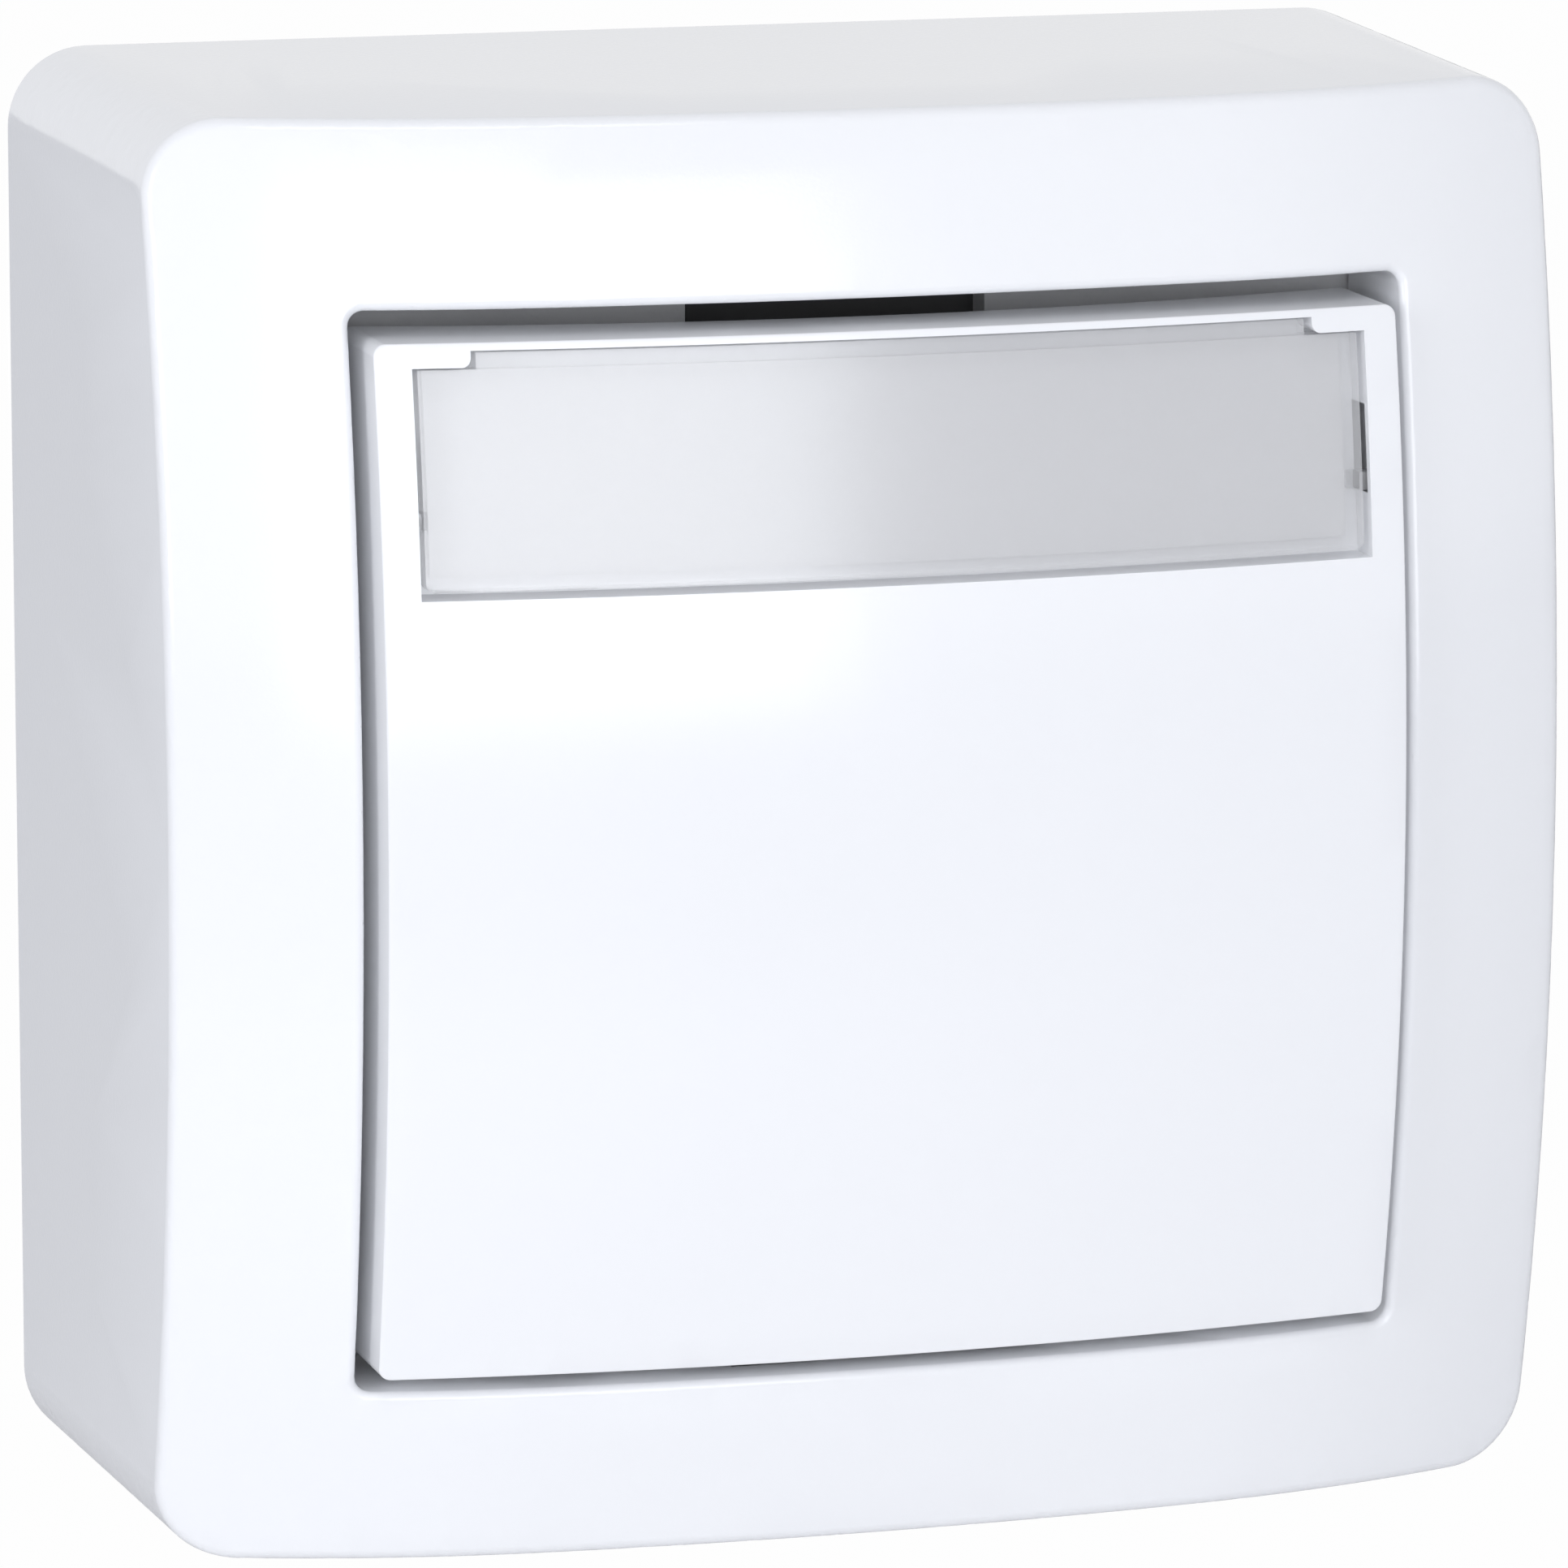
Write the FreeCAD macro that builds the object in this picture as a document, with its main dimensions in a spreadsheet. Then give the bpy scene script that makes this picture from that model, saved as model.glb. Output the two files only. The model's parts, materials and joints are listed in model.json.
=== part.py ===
import FreeCAD, Part
import Sketcher
import math
import os

# A surface-mounted pushbutton switch: a deep casing over a wall plate, a hinged key with a
# label field, and a changeover contact mechanism on a support frame.
# Frame: the wall is the plane y = 0 and the front faces -Y, with X to the right and Z up.
# A depth is a distance from the wall towards the room, so a point at depth d has y = -d.

doc = FreeCAD.newDocument("Pushbutton")
sheet = doc.addObject("Spreadsheet::Sheet", "Sizes")


class Size:
    """A length in millimetres and the sheet formula that gives it; sums of sizes keep both."""

    def __init__(self, number, formula):
        self.number = number
        self.formula = formula

    def joined(self, other, sign, number):
        text = other.formula if isinstance(other, Size) else repr(float(other))
        return Size(number, f"({self.formula} {sign} {text})")

    def __add__(self, other):
        return self.joined(other, "+", self.number + plain(other))

    def __sub__(self, other):
        return self.joined(other, "-", self.number - plain(other))

    def __mul__(self, other):
        return self.joined(other, "*", self.number * plain(other))

    def __truediv__(self, other):
        return self.joined(other, "/", self.number / plain(other))

    def __radd__(self, other):
        return self + other

    def __rsub__(self, other):
        return -self + other

    def __neg__(self):
        return Size(-self.number, f"(0 - {self.formula})")


def plain(length):
    return length.number if isinstance(length, Size) else float(length)


def size(name, number):
    """A driving size: a plain number in the sheet, under its own alias."""
    row = 1 + sum(1 for cell in sheet.getUsedCells() if cell.startswith("A"))
    sheet.set(f"A{row}", name)
    sheet.set(f"B{row}", str(number))
    sheet.setAlias(f"B{row}", name)
    return Size(float(number), f"Sizes.{name}")


# Laps and overruns that several pieces share
cut_spare = size("cut_spare", 1.0)
join_lap = size("join_lap", 0.5)
crown_spare = size("crown_spare", 4.0)

# Driving sizes of the casing
casing_back_width = size("casing_back_width", 77.8)
casing_back_height = size("casing_back_height", 77.0)
casing_draft_across = size("casing_draft_across", 2.6)
casing_draft_upright = size("casing_draft_upright", 1.68)
casing_blank_spare = size("casing_blank_spare", 0.95)
casing_corner = size("casing_corner", 4.3)
casing_edge_round = size("casing_edge_round", 0.85)
rim_band = size("rim_band", 3.5)
casing_wall = size("casing_wall", 2.0)
casing_front_wall = size("casing_front_wall", 2.2)
casing_depth = size("casing_depth", 39.05)
crown_flat_radius = size("crown_flat_radius", 190.0)
crown_shoulder = size("crown_shoulder", 18.0)
crown_side_radius = size("crown_side_radius", 65.0)
crown_upright_radius = size("crown_upright_radius", 144.5)
surround_band_across = size("surround_band_across", 9.25)
surround_band_upright = size("surround_band_upright", 9.37)
aperture_corner = size("aperture_corner", 0.85)
aperture_rim_round = size("aperture_rim_round", 0.42)
collar_wall = size("collar_wall", 1.2)
collar_gap = size("collar_gap", 0.5)
tool_slot_width = size("tool_slot_width", 7.2)
tool_slot_rib = size("tool_slot_rib", 1.7)
tool_slot_depth = size("tool_slot_depth", 33.4)
ledge_length = size("ledge_length", 11.0)
ledge_reach = size("ledge_reach", 1.4)
ledge_depth = size("ledge_depth", 15.5)
ledge_thickness = size("ledge_thickness", 2.0)

casing_blank_depth = casing_depth + casing_blank_spare
casing_front_width = casing_back_width - casing_draft_across
casing_front_height = casing_back_height - casing_draft_upright
aperture_width = casing_front_width - surround_band_across * 2
aperture_height = casing_front_height - surround_band_upright * 2

# Driving sizes of the wall plate
base_floor = size("base_floor", 2.0)
base_gap = size("base_gap", 0.6)
base_rim_wall = size("base_rim_wall", 1.5)
base_rim_depth = size("base_rim_depth", 14.0)
base_corner = size("base_corner", 1.8)
post_width = size("post_width", 6.5)
post_inset = size("post_inset", 3.8)
pilot_depth = size("pilot_depth", 12.0)
latch_width = size("latch_width", 10.0)
latch_height = size("latch_height", 18.0)
latch_wall = size("latch_wall", 1.3)
latch_gap = size("latch_gap", 0.3)
latch_depth = size("latch_depth", 20.0)
latch_hook = size("latch_hook", 0.8)
latch_root_depth = size("latch_root_depth", 8.0)
wall_slot_spacing = size("wall_slot_spacing", 60.0)
wall_slot_width = size("wall_slot_width", 4.2)
wall_slot_length = size("wall_slot_length", 7.0)
cable_entry_width = size("cable_entry_width", 26.0)
cable_entry_height = size("cable_entry_height", 15.0)
cable_entry_top = size("cable_entry_top", -6.0)
cable_entry_corner = size("cable_entry_corner", 3.0)
knockout_width = size("knockout_width", 12.0)
knockout_height = size("knockout_height", 8.0)
knockout_low = size("knockout_low", 3.5)
knockout_recess = size("knockout_recess", 0.9)

# Driving sizes of the support frame
frame_depth = size("frame_depth", 25.0)
frame_plate = size("frame_plate", 2.0)
frame_gap = size("frame_gap", 1.3)
frame_corner = size("frame_corner", 1.6)
frame_notch_width = size("frame_notch_width", 16.4)
frame_notch_height = size("frame_notch_height", 4.6)
frame_notch_lap = size("frame_notch_lap", 0.25)
hinge_rise = size("hinge_rise", 2.6)
hinge_height = size("hinge_height", 19.0)
trunnion_width = size("trunnion_width", 3.0)
trunnion_clearance = size("trunnion_clearance", 0.05)
lug_gap = size("lug_gap", 1.55)
lug_thickness = size("lug_thickness", 2.0)
lug_radius = size("lug_radius", 2.7)

hinge_depth = frame_depth + hinge_rise
frame_back = frame_depth - frame_plate
frame_notch_high = aperture_height / 2 + frame_notch_lap
frame_notch_low = frame_notch_high - frame_notch_height

# Driving sizes of the screws
screw_shank = size("screw_shank", 2.9)
screw_head = size("screw_head", 5.4)
screw_head_height = size("screw_head_height", 1.9)
screw_length = size("screw_length", 12.0)
screw_sink = size("screw_sink", 1.0)
screw_head_gap = size("screw_head_gap", 0.2)
small_screw_shank = size("small_screw_shank", 2.0)
small_screw_head = size("small_screw_head", 4.0)
small_screw_head_height = size("small_screw_head_height", 1.4)
small_screw_length = size("small_screw_length", 6.5)
screw_clearance = size("screw_clearance", 0.1)
cross_width = size("cross_width", 0.7)
cross_share = size("cross_share", 0.62)
cross_sink = size("cross_sink", 0.9)

# Driving sizes of the mechanism housing and its cover
housing_width = size("housing_width", 36.0)
housing_low = size("housing_low", -23.0)
housing_high = size("housing_high", 12.5)
housing_length = size("housing_length", 15.5)
housing_wall = size("housing_wall", 1.6)
flange_width = size("flange_width", 50.8)
flange_thickness = size("flange_thickness", 1.6)
flange_tab_side_lap = size("flange_tab_side_lap", 1.3)
flange_tab_top_lap = size("flange_tab_top_lap", 1.6)
ear_low = size("ear_low", -9.0)
ear_high = size("ear_high", -1.0)
boss_width = size("boss_width", 5.0)
boss_length = size("boss_length", 6.0)
ear_inset = size("ear_inset", 3.6)
partition = size("partition", 1.2)
partition_top = size("partition_top", -13.6)
cover_front_gap = size("cover_front_gap", 0.1)
cover_thickness = size("cover_thickness", 1.7)
cover_gap = size("cover_gap", 0.2)
cover_step = size("cover_step", 1.0)
frame_window_lap = size("frame_window_lap", 0.8)
guide_height = size("guide_height", -5.0)
guide_width = size("guide_width", 7.0)
guide_gap = size("guide_gap", 1.5)
hook_width = size("hook_width", 9.0)
hook_wall = size("hook_wall", 1.6)
hook_gap = size("hook_gap", 0.6)
hook_nose = size("hook_nose", 1.4)
hook_nose_height = size("hook_nose_height", 1.1)
hook_nose_gap = size("hook_nose_gap", 0.25)
driver_hole = size("driver_hole", 4.6)

# Driving sizes of the carrier
carrier_rise = size("carrier_rise", 2.9)
carrier_plate = size("carrier_plate", 2.0)
carrier_width = size("carrier_width", 34.0)
carrier_low = size("carrier_low", -9.0)
carrier_arm_low = size("carrier_arm_low", 15.8)
carrier_top = size("carrier_top", 21.8)
carrier_gap = size("carrier_gap", 0.4)
hub_width = size("hub_width", 4.4)
hub_length = size("hub_length", 4.0)
trunnion_inset = size("trunnion_inset", 0.1)
spring_across = size("spring_across", 24.0)
spring_height = size("spring_height", -3.0)
peg_width = size("peg_width", 2.8)
peg_length = size("peg_length", 1.6)
pin_width = size("pin_width", 2.2)
pin_length = size("pin_length", 2.5)
pin_clearance = size("pin_clearance", 0.05)
key_post_across = size("key_post_across", 26.0)
key_post_low = size("key_post_low", -5.0)
key_post_high = size("key_post_high", 10.0)
key_post_width = size("key_post_width", 4.6)

carrier_depth = hinge_depth + carrier_rise
carrier_back = carrier_depth - carrier_plate
guide_depth = carrier_back - guide_gap

# Driving sizes of the key and its label field
key_side_gap = size("key_side_gap", 0.85)
key_top_gap = size("key_top_gap", 1.49)
key_low_gap = size("key_low_gap", 0.98)
key_corner = size("key_corner", 0.65)
key_edge_round = size("key_edge_round", 0.12)
key_rise = size("key_rise", 0.9)
key_wide_radius = size("key_wide_radius", 179.0)
key_upright_radius = size("key_upright_radius", 134.5)
key_face = size("key_face", 1.8)
key_skirt_wall = size("key_skirt_wall", 1.5)
key_skirt_gap = size("key_skirt_gap", 6.9)
key_skirt_radius = size("key_skirt_radius", 103.3)
rib_wall = size("rib_wall", 1.2)
rib_sink = size("rib_sink", 5.9)
recess_margin = size("recess_margin", 1.9)
recess_top_margin = size("recess_top_margin", 0.4)
recess_height = size("recess_height", 12.55)
tab_height = size("tab_height", 0.85)
tab_width = size("tab_width", 3.0)
recess_sink = size("recess_sink", 2.3)
recess_floor = size("recess_floor", 1.1)
backing_gap = size("backing_gap", 0.3)
window_side_gap = size("window_side_gap", 0.33)
window_low_gap = size("window_low_gap", 0.35)
window_top_gap = size("window_top_gap", 0.13)
window_sink = size("window_sink", 0.35)
window_thickness = size("window_thickness", 1.2)
window_corner = size("window_corner", 0.5)
card_gap = size("card_gap", 0.15)
card_thickness = size("card_thickness", 0.3)
card_inset = size("card_inset", 0.55)
slot_rise = size("slot_rise", 3.25)
slot_length = size("slot_length", 4.6)
slot_reach = size("slot_reach", 0.8)
slot_lap = size("slot_lap", 0.05)
slot_cover = size("slot_cover", 0.5)
nib_height = size("nib_height", 0.95)
nib_gap = size("nib_gap", 0.1)
nib_reach = size("nib_reach", 0.5)
nib_thickness = size("nib_thickness", 1.1)
nib_sink = size("nib_sink", 3.85)

key_width = aperture_width - key_side_gap * 2
key_high = aperture_height / 2 - key_top_gap
key_low = key_low_gap - aperture_height / 2
key_depth = casing_depth + key_rise
key_skirt_depth = frame_depth + key_skirt_gap
rib_depth = key_depth - rib_sink
recess_half = key_width / 2 - recess_margin
recess_top = key_high - recess_top_margin
recess_high = recess_top - tab_height
recess_low = recess_top - recess_height
tab_across = recess_half - tab_width
slot_low = recess_low + slot_rise
slot_high = slot_low + slot_length
lug_outer = key_width / 2 - key_skirt_wall - lug_gap
lug_inner = lug_outer - lug_thickness

# Driving sizes of the plunger and the contacts
plunger_width = size("plunger_width", 4.0)
plunger_clearance = size("plunger_clearance", 0.1)
plunger_flange = size("plunger_flange", 6.2)
plunger_flange_height = size("plunger_flange_height", 1.2)
plunger_flange_gap = size("plunger_flange_gap", 0.4)
plunger_gap = size("plunger_gap", 0.2)
plunger_dome = size("plunger_dome", 1.3)
lever_sink = size("lever_sink", 4.5)
lever_thickness = size("lever_thickness", 0.4)
lever_width = size("lever_width", 4.0)
lever_root = size("lever_root", -12.2)
lever_top = size("lever_top", 8.0)
lever_eye = size("lever_eye", 0.9)
lever_root_gap = size("lever_root_gap", 0.3)
rivet_height = size("rivet_height", 6.0)
rivet_width = size("rivet_width", 3.0)
rivet_dome = size("rivet_dome", 0.7)
rivet_round = size("rivet_round", 0.55)
rivet_shank = size("rivet_shank", 1.5)
rivet_clearance = size("rivet_clearance", 0.02)
contact_travel = size("contact_travel", 3.1)
strip_thickness = size("strip_thickness", 0.6)
strip_width = size("strip_width", 4.2)
strip_fold = size("strip_fold", -8.6)
pillar_width = size("pillar_width", 3.0)
root_pillar_lap = size("root_pillar_lap", 0.3)
terminal_pitch = size("terminal_pitch", 12.0)
tail_gap = size("tail_gap", 0.2)
tail_low = size("tail_low", -20.4)
common_root_length = size("common_root_length", 4.2)
contact_spring_height = size("contact_spring_height", -2.0)

# Driving sizes of the terminal clamps
clamp_low = size("clamp_low", -20.0)
clamp_high = size("clamp_high", -14.0)
clamp_width = size("clamp_width", 6.4)
clamp_cover_gap = size("clamp_cover_gap", 0.8)
clamp_length = size("clamp_length", 7.8)
clamp_side_wall = size("clamp_side_wall", 1.0)
clamp_end_wall = size("clamp_end_wall", 1.4)
clamp_screw_shank = size("clamp_screw_shank", 2.6)
clamp_screw_head = size("clamp_screw_head", 4.0)
clamp_screw_lift = size("clamp_screw_lift", 0.2)
clamp_screw_head_height = size("clamp_screw_head_height", 1.4)
clamp_screw_gap = size("clamp_screw_gap", 0.05)
wire_hole = size("wire_hole", 3.7)

# Driving sizes of the springs
return_spring_radius = size("return_spring_radius", 2.2)
return_spring_wire = size("return_spring_wire", 0.5)
return_spring_turns = size("return_spring_turns", 5)
contact_spring_radius = size("contact_spring_radius", 1.5)
contact_spring_wire = size("contact_spring_wire", 0.35)
contact_spring_turns = size("contact_spring_turns", 6)
spring_seat_gap = size("spring_seat_gap", 0.15)
spring_cup_sink = size("spring_cup_sink", 0.7)
spring_cup_gap = size("spring_cup_gap", 0.35)


def origin_plane(body, role):
    return next(item for item in body.Origin.OriginFeatures if item.Role == role)


def new_body(name):
    body = doc.addObject("PartDesign::Body", name)
    body.Label = name
    return body


def bind(item, path, length):
    """Ties a property or a constraint to the sheet, or sets it where it is a plain number."""
    if isinstance(length, Size):
        item.setExpression(path, length.formula)


def pin_point(sketch, part, end, across, up):
    """Holds one point of a sketch at its distances from the sketch's own origin."""
    for kind, on_axis, length in (("DistanceX", -2, across), ("DistanceY", -1, up)):
        if not isinstance(length, Size) and length == 0:
            sketch.addConstraint(Sketcher.Constraint("PointOnObject", part, end, on_axis))
            continue
        number = sketch.addConstraint(Sketcher.Constraint(kind, -1, 1, part, end, plain(length)))
        bind(sketch, f"Constraints[{number}]", length)


def polygon(*points):
    """An outline of straight lines through the points."""

    def draw(sketch):
        first = sketch.GeometryCount
        count = len(points)
        corners = [FreeCAD.Vector(plain(across), plain(up), 0) for across, up in points]
        for index in range(count):
            line = Part.LineSegment(corners[index], corners[(index + 1) % count])
            sketch.addGeometry(line, False)
        for index in range(count):
            after = first + (index + 1) % count
            sketch.addConstraint(Sketcher.Constraint("Coincident", first + index, 2, after, 1))
        for index, (across, up) in enumerate(points):
            pin_point(sketch, first + index, 1, across, up)

    return draw


def box(left, right, low, high):
    return polygon((left, low), (right, low), (right, high), (left, high))


def centred(width, height):
    return box(-width / 2, width / 2, -height / 2, height / 2)


def circle(across, up, diameter):
    """A circle by its centre and its diameter."""

    def draw(sketch):
        centre = FreeCAD.Vector(plain(across), plain(up), 0)
        round_line = Part.Circle(centre, FreeCAD.Vector(0, 0, 1), plain(diameter) / 2)
        index = sketch.addGeometry(round_line, False)
        pin_point(sketch, index, 3, across, up)
        number = sketch.addConstraint(Sketcher.Constraint("Diameter", index, plain(diameter)))
        bind(sketch, f"Constraints[{number}]", diameter)

    return draw


def new_sketch(body, role, level, outlines):
    """A sketch on one of the body's own origin planes, moved along its normal by level."""
    sketch = body.newObject("Sketcher::SketchObject", body.Name + "_sketch")
    sketch.AttachmentSupport = [(origin_plane(body, role), "")]
    sketch.MapMode = "FlatFace"
    sketch.AttachmentOffset = FreeCAD.Placement(FreeCAD.Vector(0, 0, plain(level)), FreeCAD.Rotation())
    bind(sketch, "AttachmentOffset.Base.z", level)
    for outline in outlines:
        outline(sketch)
    return sketch


def pad(body, low, high, *outlines, role="XZ_Plane"):
    """Adds the outlines between two levels along the plane's normal, depths from the wall as a rule."""
    feature = body.newObject("PartDesign::Pad", body.Name + "_pad")
    feature.Profile = new_sketch(body, role, low, outlines)
    feature.Length = plain(high) - plain(low)
    bind(feature, "Length", high - low if isinstance(high, Size) else -(low - high))
    return feature


def pocket(body, low, high, *outlines, role="XZ_Plane"):
    """Cuts the outlines away between two levels along the plane's normal."""
    feature = body.newObject("PartDesign::Pocket", body.Name + "_pocket")
    feature.Profile = new_sketch(body, role, high, outlines)
    feature.Length = plain(high) - plain(low)
    bind(feature, "Length", high - low if isinstance(high, Size) else -(low - high))
    return feature


def boolean(body, kind, *tools):
    feature = body.newObject("PartDesign::Boolean", body.Name + "_" + kind.lower())
    feature.Type = kind
    feature.setObjects(list(tools))
    return feature


def round_edges(body, radius, wanted):
    """Rounds the edges of the finished shape that the test picks by their end points and middle."""
    doc.recompute()
    base = body.Tip
    names = []
    for index, edge in enumerate(base.Shape.Edges):
        middle = edge.valueAt((edge.FirstParameter + edge.LastParameter) / 2)
        points = [vertex.Point for vertex in edge.Vertexes] + [middle]
        if wanted(points):
            names.append(f"Edge{index + 1}")
    feature = body.newObject("PartDesign::Fillet", body.Name + "_round")
    feature.Base = (base, names)
    feature.Radius = plain(radius)
    bind(feature, "Radius", radius)
    return feature


def runs_along(points, axis):
    """True for a straight edge along one axis, 'x', 'y' or 'z'."""
    spread = {}
    for name in "xyz":
        places = [getattr(point, name) for point in points]
        spread[name] = max(places) - min(places)
    return all(spread[name] < 0.001 for name in "xyz" if name != axis) and spread[axis] > 0.01


def loft(body, back, front, outline_back, outline_front):
    """A straight-sided solid between two outlines at two depths."""
    feature = body.newObject("PartDesign::AdditiveLoft", body.Name + "_loft")
    feature.Profile = new_sketch(body, "XZ_Plane", back, [outline_back])
    feature.Sections = [new_sketch(body, "XZ_Plane", front, [outline_front])]
    feature.Ruled = True
    return feature


def arc_about(sketch, centre_x, centre_y, radius, start, end):
    """An arc by its centre, radius and two angles in radians, counted from straight towards -Y."""
    ring = Part.Circle(FreeCAD.Vector(centre_x, centre_y, 0), FreeCAD.Vector(0, 0, 1), radius)
    return sketch.addGeometry(Part.ArcOfCircle(ring, start - math.pi / 2, end - math.pi / 2), False)


def tie_number(sketch, kind, *where_and_length):
    """One measured constraint, whose last argument is the length."""
    *where, length = where_and_length
    number = sketch.addConstraint(Sketcher.Constraint(kind, *where, plain(length)))
    bind(sketch, f"Constraints[{number}]", length)


def close_behind(sketch, left_arc, right_arc, half_width, back):
    """Closes a crown profile with two sides and a back line at the depth back."""
    wide = plain(half_width)
    deep = -plain(back)
    left = sketch.Geometry[left_arc].StartPoint
    right = sketch.Geometry[right_arc].EndPoint
    low_left = FreeCAD.Vector(-wide, deep, 0)
    low_right = FreeCAD.Vector(wide, deep, 0)
    side_right = sketch.addGeometry(Part.LineSegment(right, low_right), False)
    back_line = sketch.addGeometry(Part.LineSegment(low_right, low_left), False)
    side_left = sketch.addGeometry(Part.LineSegment(low_left, left), False)
    sketch.addConstraint(Sketcher.Constraint("Coincident", right_arc, 2, side_right, 1))
    sketch.addConstraint(Sketcher.Constraint("Coincident", side_right, 2, back_line, 1))
    sketch.addConstraint(Sketcher.Constraint("Coincident", back_line, 2, side_left, 1))
    sketch.addConstraint(Sketcher.Constraint("Coincident", side_left, 2, left_arc, 1))
    sketch.addConstraint(Sketcher.Constraint("Vertical", side_right))
    sketch.addConstraint(Sketcher.Constraint("Vertical", side_left))
    pin_point(sketch, back_line, 1, half_width, -back)
    pin_point(sketch, back_line, 2, -half_width, -back)


def crown_line(half_width, back, depth, radius):
    """A profile from the depth back up to one arc, which is highest on the centre line."""

    def draw(sketch):
        turn = math.asin(plain(half_width) / plain(radius))
        arc = arc_about(sketch, 0, plain(radius) - plain(depth), plain(radius), -turn, turn)
        pin_point(sketch, arc, 3, 0, radius - depth)
        tie_number(sketch, "Radius", arc, radius)
        close_behind(sketch, arc, arc, half_width, back)

    return draw


def shouldered_crown_line(half_width, back, depth, inset, flat_radius, shoulder, side_radius):
    """As crown_line, with a tighter arc beyond each shoulder, all of it moved inwards by inset."""

    def draw(sketch):
        flat = plain(flat_radius) - plain(inset)
        side = plain(side_radius) - plain(inset)
        turn = math.asin(plain(shoulder) / plain(flat_radius))
        apart = plain(flat_radius) - plain(side_radius)
        high = plain(flat_radius) - plain(depth)
        side_x = apart * math.sin(turn)
        side_y = high - apart * math.cos(turn)
        end = math.asin((plain(half_width) - side_x) / side)
        middle_arc = arc_about(sketch, 0, high, flat, -turn, turn)
        right_arc = arc_about(sketch, side_x, side_y, side, turn, end)
        left_arc = arc_about(sketch, -side_x, side_y, side, -end, -turn)
        pin_point(sketch, middle_arc, 3, 0, flat_radius - depth)
        tie_number(sketch, "Radius", middle_arc, flat_radius - inset)
        tie_number(sketch, "Radius", right_arc, side_radius - inset)
        tie_number(sketch, "Radius", left_arc, side_radius - inset)
        reach = Size(shoulder.number, shoulder.formula) * ((flat_radius - inset) / flat_radius)
        tie_number(sketch, "DistanceX", -1, 1, middle_arc, 2, reach)
        tie_number(sketch, "DistanceX", -1, 1, middle_arc, 1, -reach)
        sketch.addConstraint(Sketcher.Constraint("Tangent", middle_arc, 2, right_arc, 1))
        sketch.addConstraint(Sketcher.Constraint("Tangent", left_arc, 2, middle_arc, 1))
        close_behind(sketch, left_arc, right_arc, half_width, back)

    return draw


def crown(name, profile, depth, upright_radius, swing=64):
    """A solid whose front is the profile swung about a level axis behind the wall."""
    body = new_body(name)
    sketch = new_sketch(body, "XY_Plane", 0, [profile])
    axis_y = upright_radius - depth
    ends = [FreeCAD.Vector(x, plain(axis_y), 0) for x in (-1, 1)]
    axis = sketch.addGeometry(Part.LineSegment(*ends), True)
    sketch.addConstraint(Sketcher.Constraint("Horizontal", axis))
    tie_number(sketch, "DistanceY", -1, 1, axis, 1, axis_y)
    feature = body.newObject("PartDesign::Revolution", name + "_swing")
    feature.Profile = sketch
    feature.ReferenceAxis = (sketch, ["Axis0"])
    feature.Midplane = True
    feature.Angle = swing
    return body


# Surround cover: one moulded casing with draft on its sides, a doubly crowned front, and a square
# aperture whose collar reaches back to the support frame.
casing_reach = casing_back_width / 2 + crown_spare
inner_across = casing_back_width / 2 - casing_wall
inner_upright = casing_back_height / 2 - casing_wall
collar_back = frame_depth + collar_gap


def casing_crown(name, inset):
    profile = shouldered_crown_line(
        casing_reach, -casing_front_wall, casing_depth, inset,
        crown_flat_radius, crown_shoulder, crown_side_radius,
    )
    return crown(name, profile, casing_depth, crown_upright_radius)


def is_sloping_corner(points):
    return abs(points[0].y - points[1].y) > plain(casing_blank_depth) / 2


def is_upright_corner(points):
    return runs_along(points, "y")


def is_front_rim(width, height):
    """Picks the edges of the crowned front that lie at the rim of a block of that size."""
    half_across = plain(width) / 2 - plain(rim_band)
    half_upright = plain(height) / 2 - plain(rim_band)

    def wanted(points):
        middle = points[-1]
        at_front = all(point.y < -plain(frame_depth) + 1 for point in points)
        at_rim = abs(middle.x) > half_across or abs(middle.z) > half_upright
        return at_front and at_rim and not is_sloping_corner(points)

    return wanted


casing = new_body("surround_cover")
loft(
    casing, 0, casing_blank_depth,
    centred(casing_back_width, casing_back_height),
    centred(casing_front_width, casing_front_height),
)
round_edges(casing, casing_corner, is_sloping_corner)
boolean(casing, "Common", casing_crown("casing_crown", 0.0))
round_edges(casing, casing_edge_round, is_front_rim(casing_front_width, casing_front_height))

casing_cavity = new_body("casing_cavity")
loft(
    casing_cavity, 0, casing_blank_depth,
    centred(casing_back_width - casing_wall * 2, casing_back_height - casing_wall * 2),
    centred(casing_front_width - casing_wall * 2, casing_front_height - casing_wall * 2),
)
round_edges(casing_cavity, casing_corner - casing_wall, is_sloping_corner)
boolean(casing_cavity, "Common", casing_crown("casing_inner_crown", casing_front_wall))
boolean(casing, "Cut", casing_cavity)

collar = new_body("casing_collar")
pad(
    collar, collar_back, casing_blank_depth,
    centred(aperture_width + collar_wall * 2, aperture_height + collar_wall * 2),
)
round_edges(collar, aperture_corner + collar_wall, is_upright_corner)
boolean(collar, "Common", casing_crown("casing_collar_crown", casing_front_wall / 2))
boolean(casing, "Fuse", collar)

aperture = new_body("casing_aperture")
aperture_outline = centred(aperture_width, aperture_height)
pad(aperture, collar_back - cut_spare, casing_blank_depth + cut_spare, aperture_outline)
round_edges(aperture, aperture_corner, is_upright_corner)
boolean(casing, "Cut", aperture)


def is_aperture_rim(points):
    within = all(
        abs(p.x) < plain(aperture_width) / 2 + 0.01 and abs(p.z) < plain(aperture_height) / 2 + 0.01
        for p in points
    )
    return within and all(p.y < -plain(tool_slot_depth) + 0.2 for p in points) and not runs_along(points, "y")


round_edges(casing, aperture_rim_round, is_aperture_rim)

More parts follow.
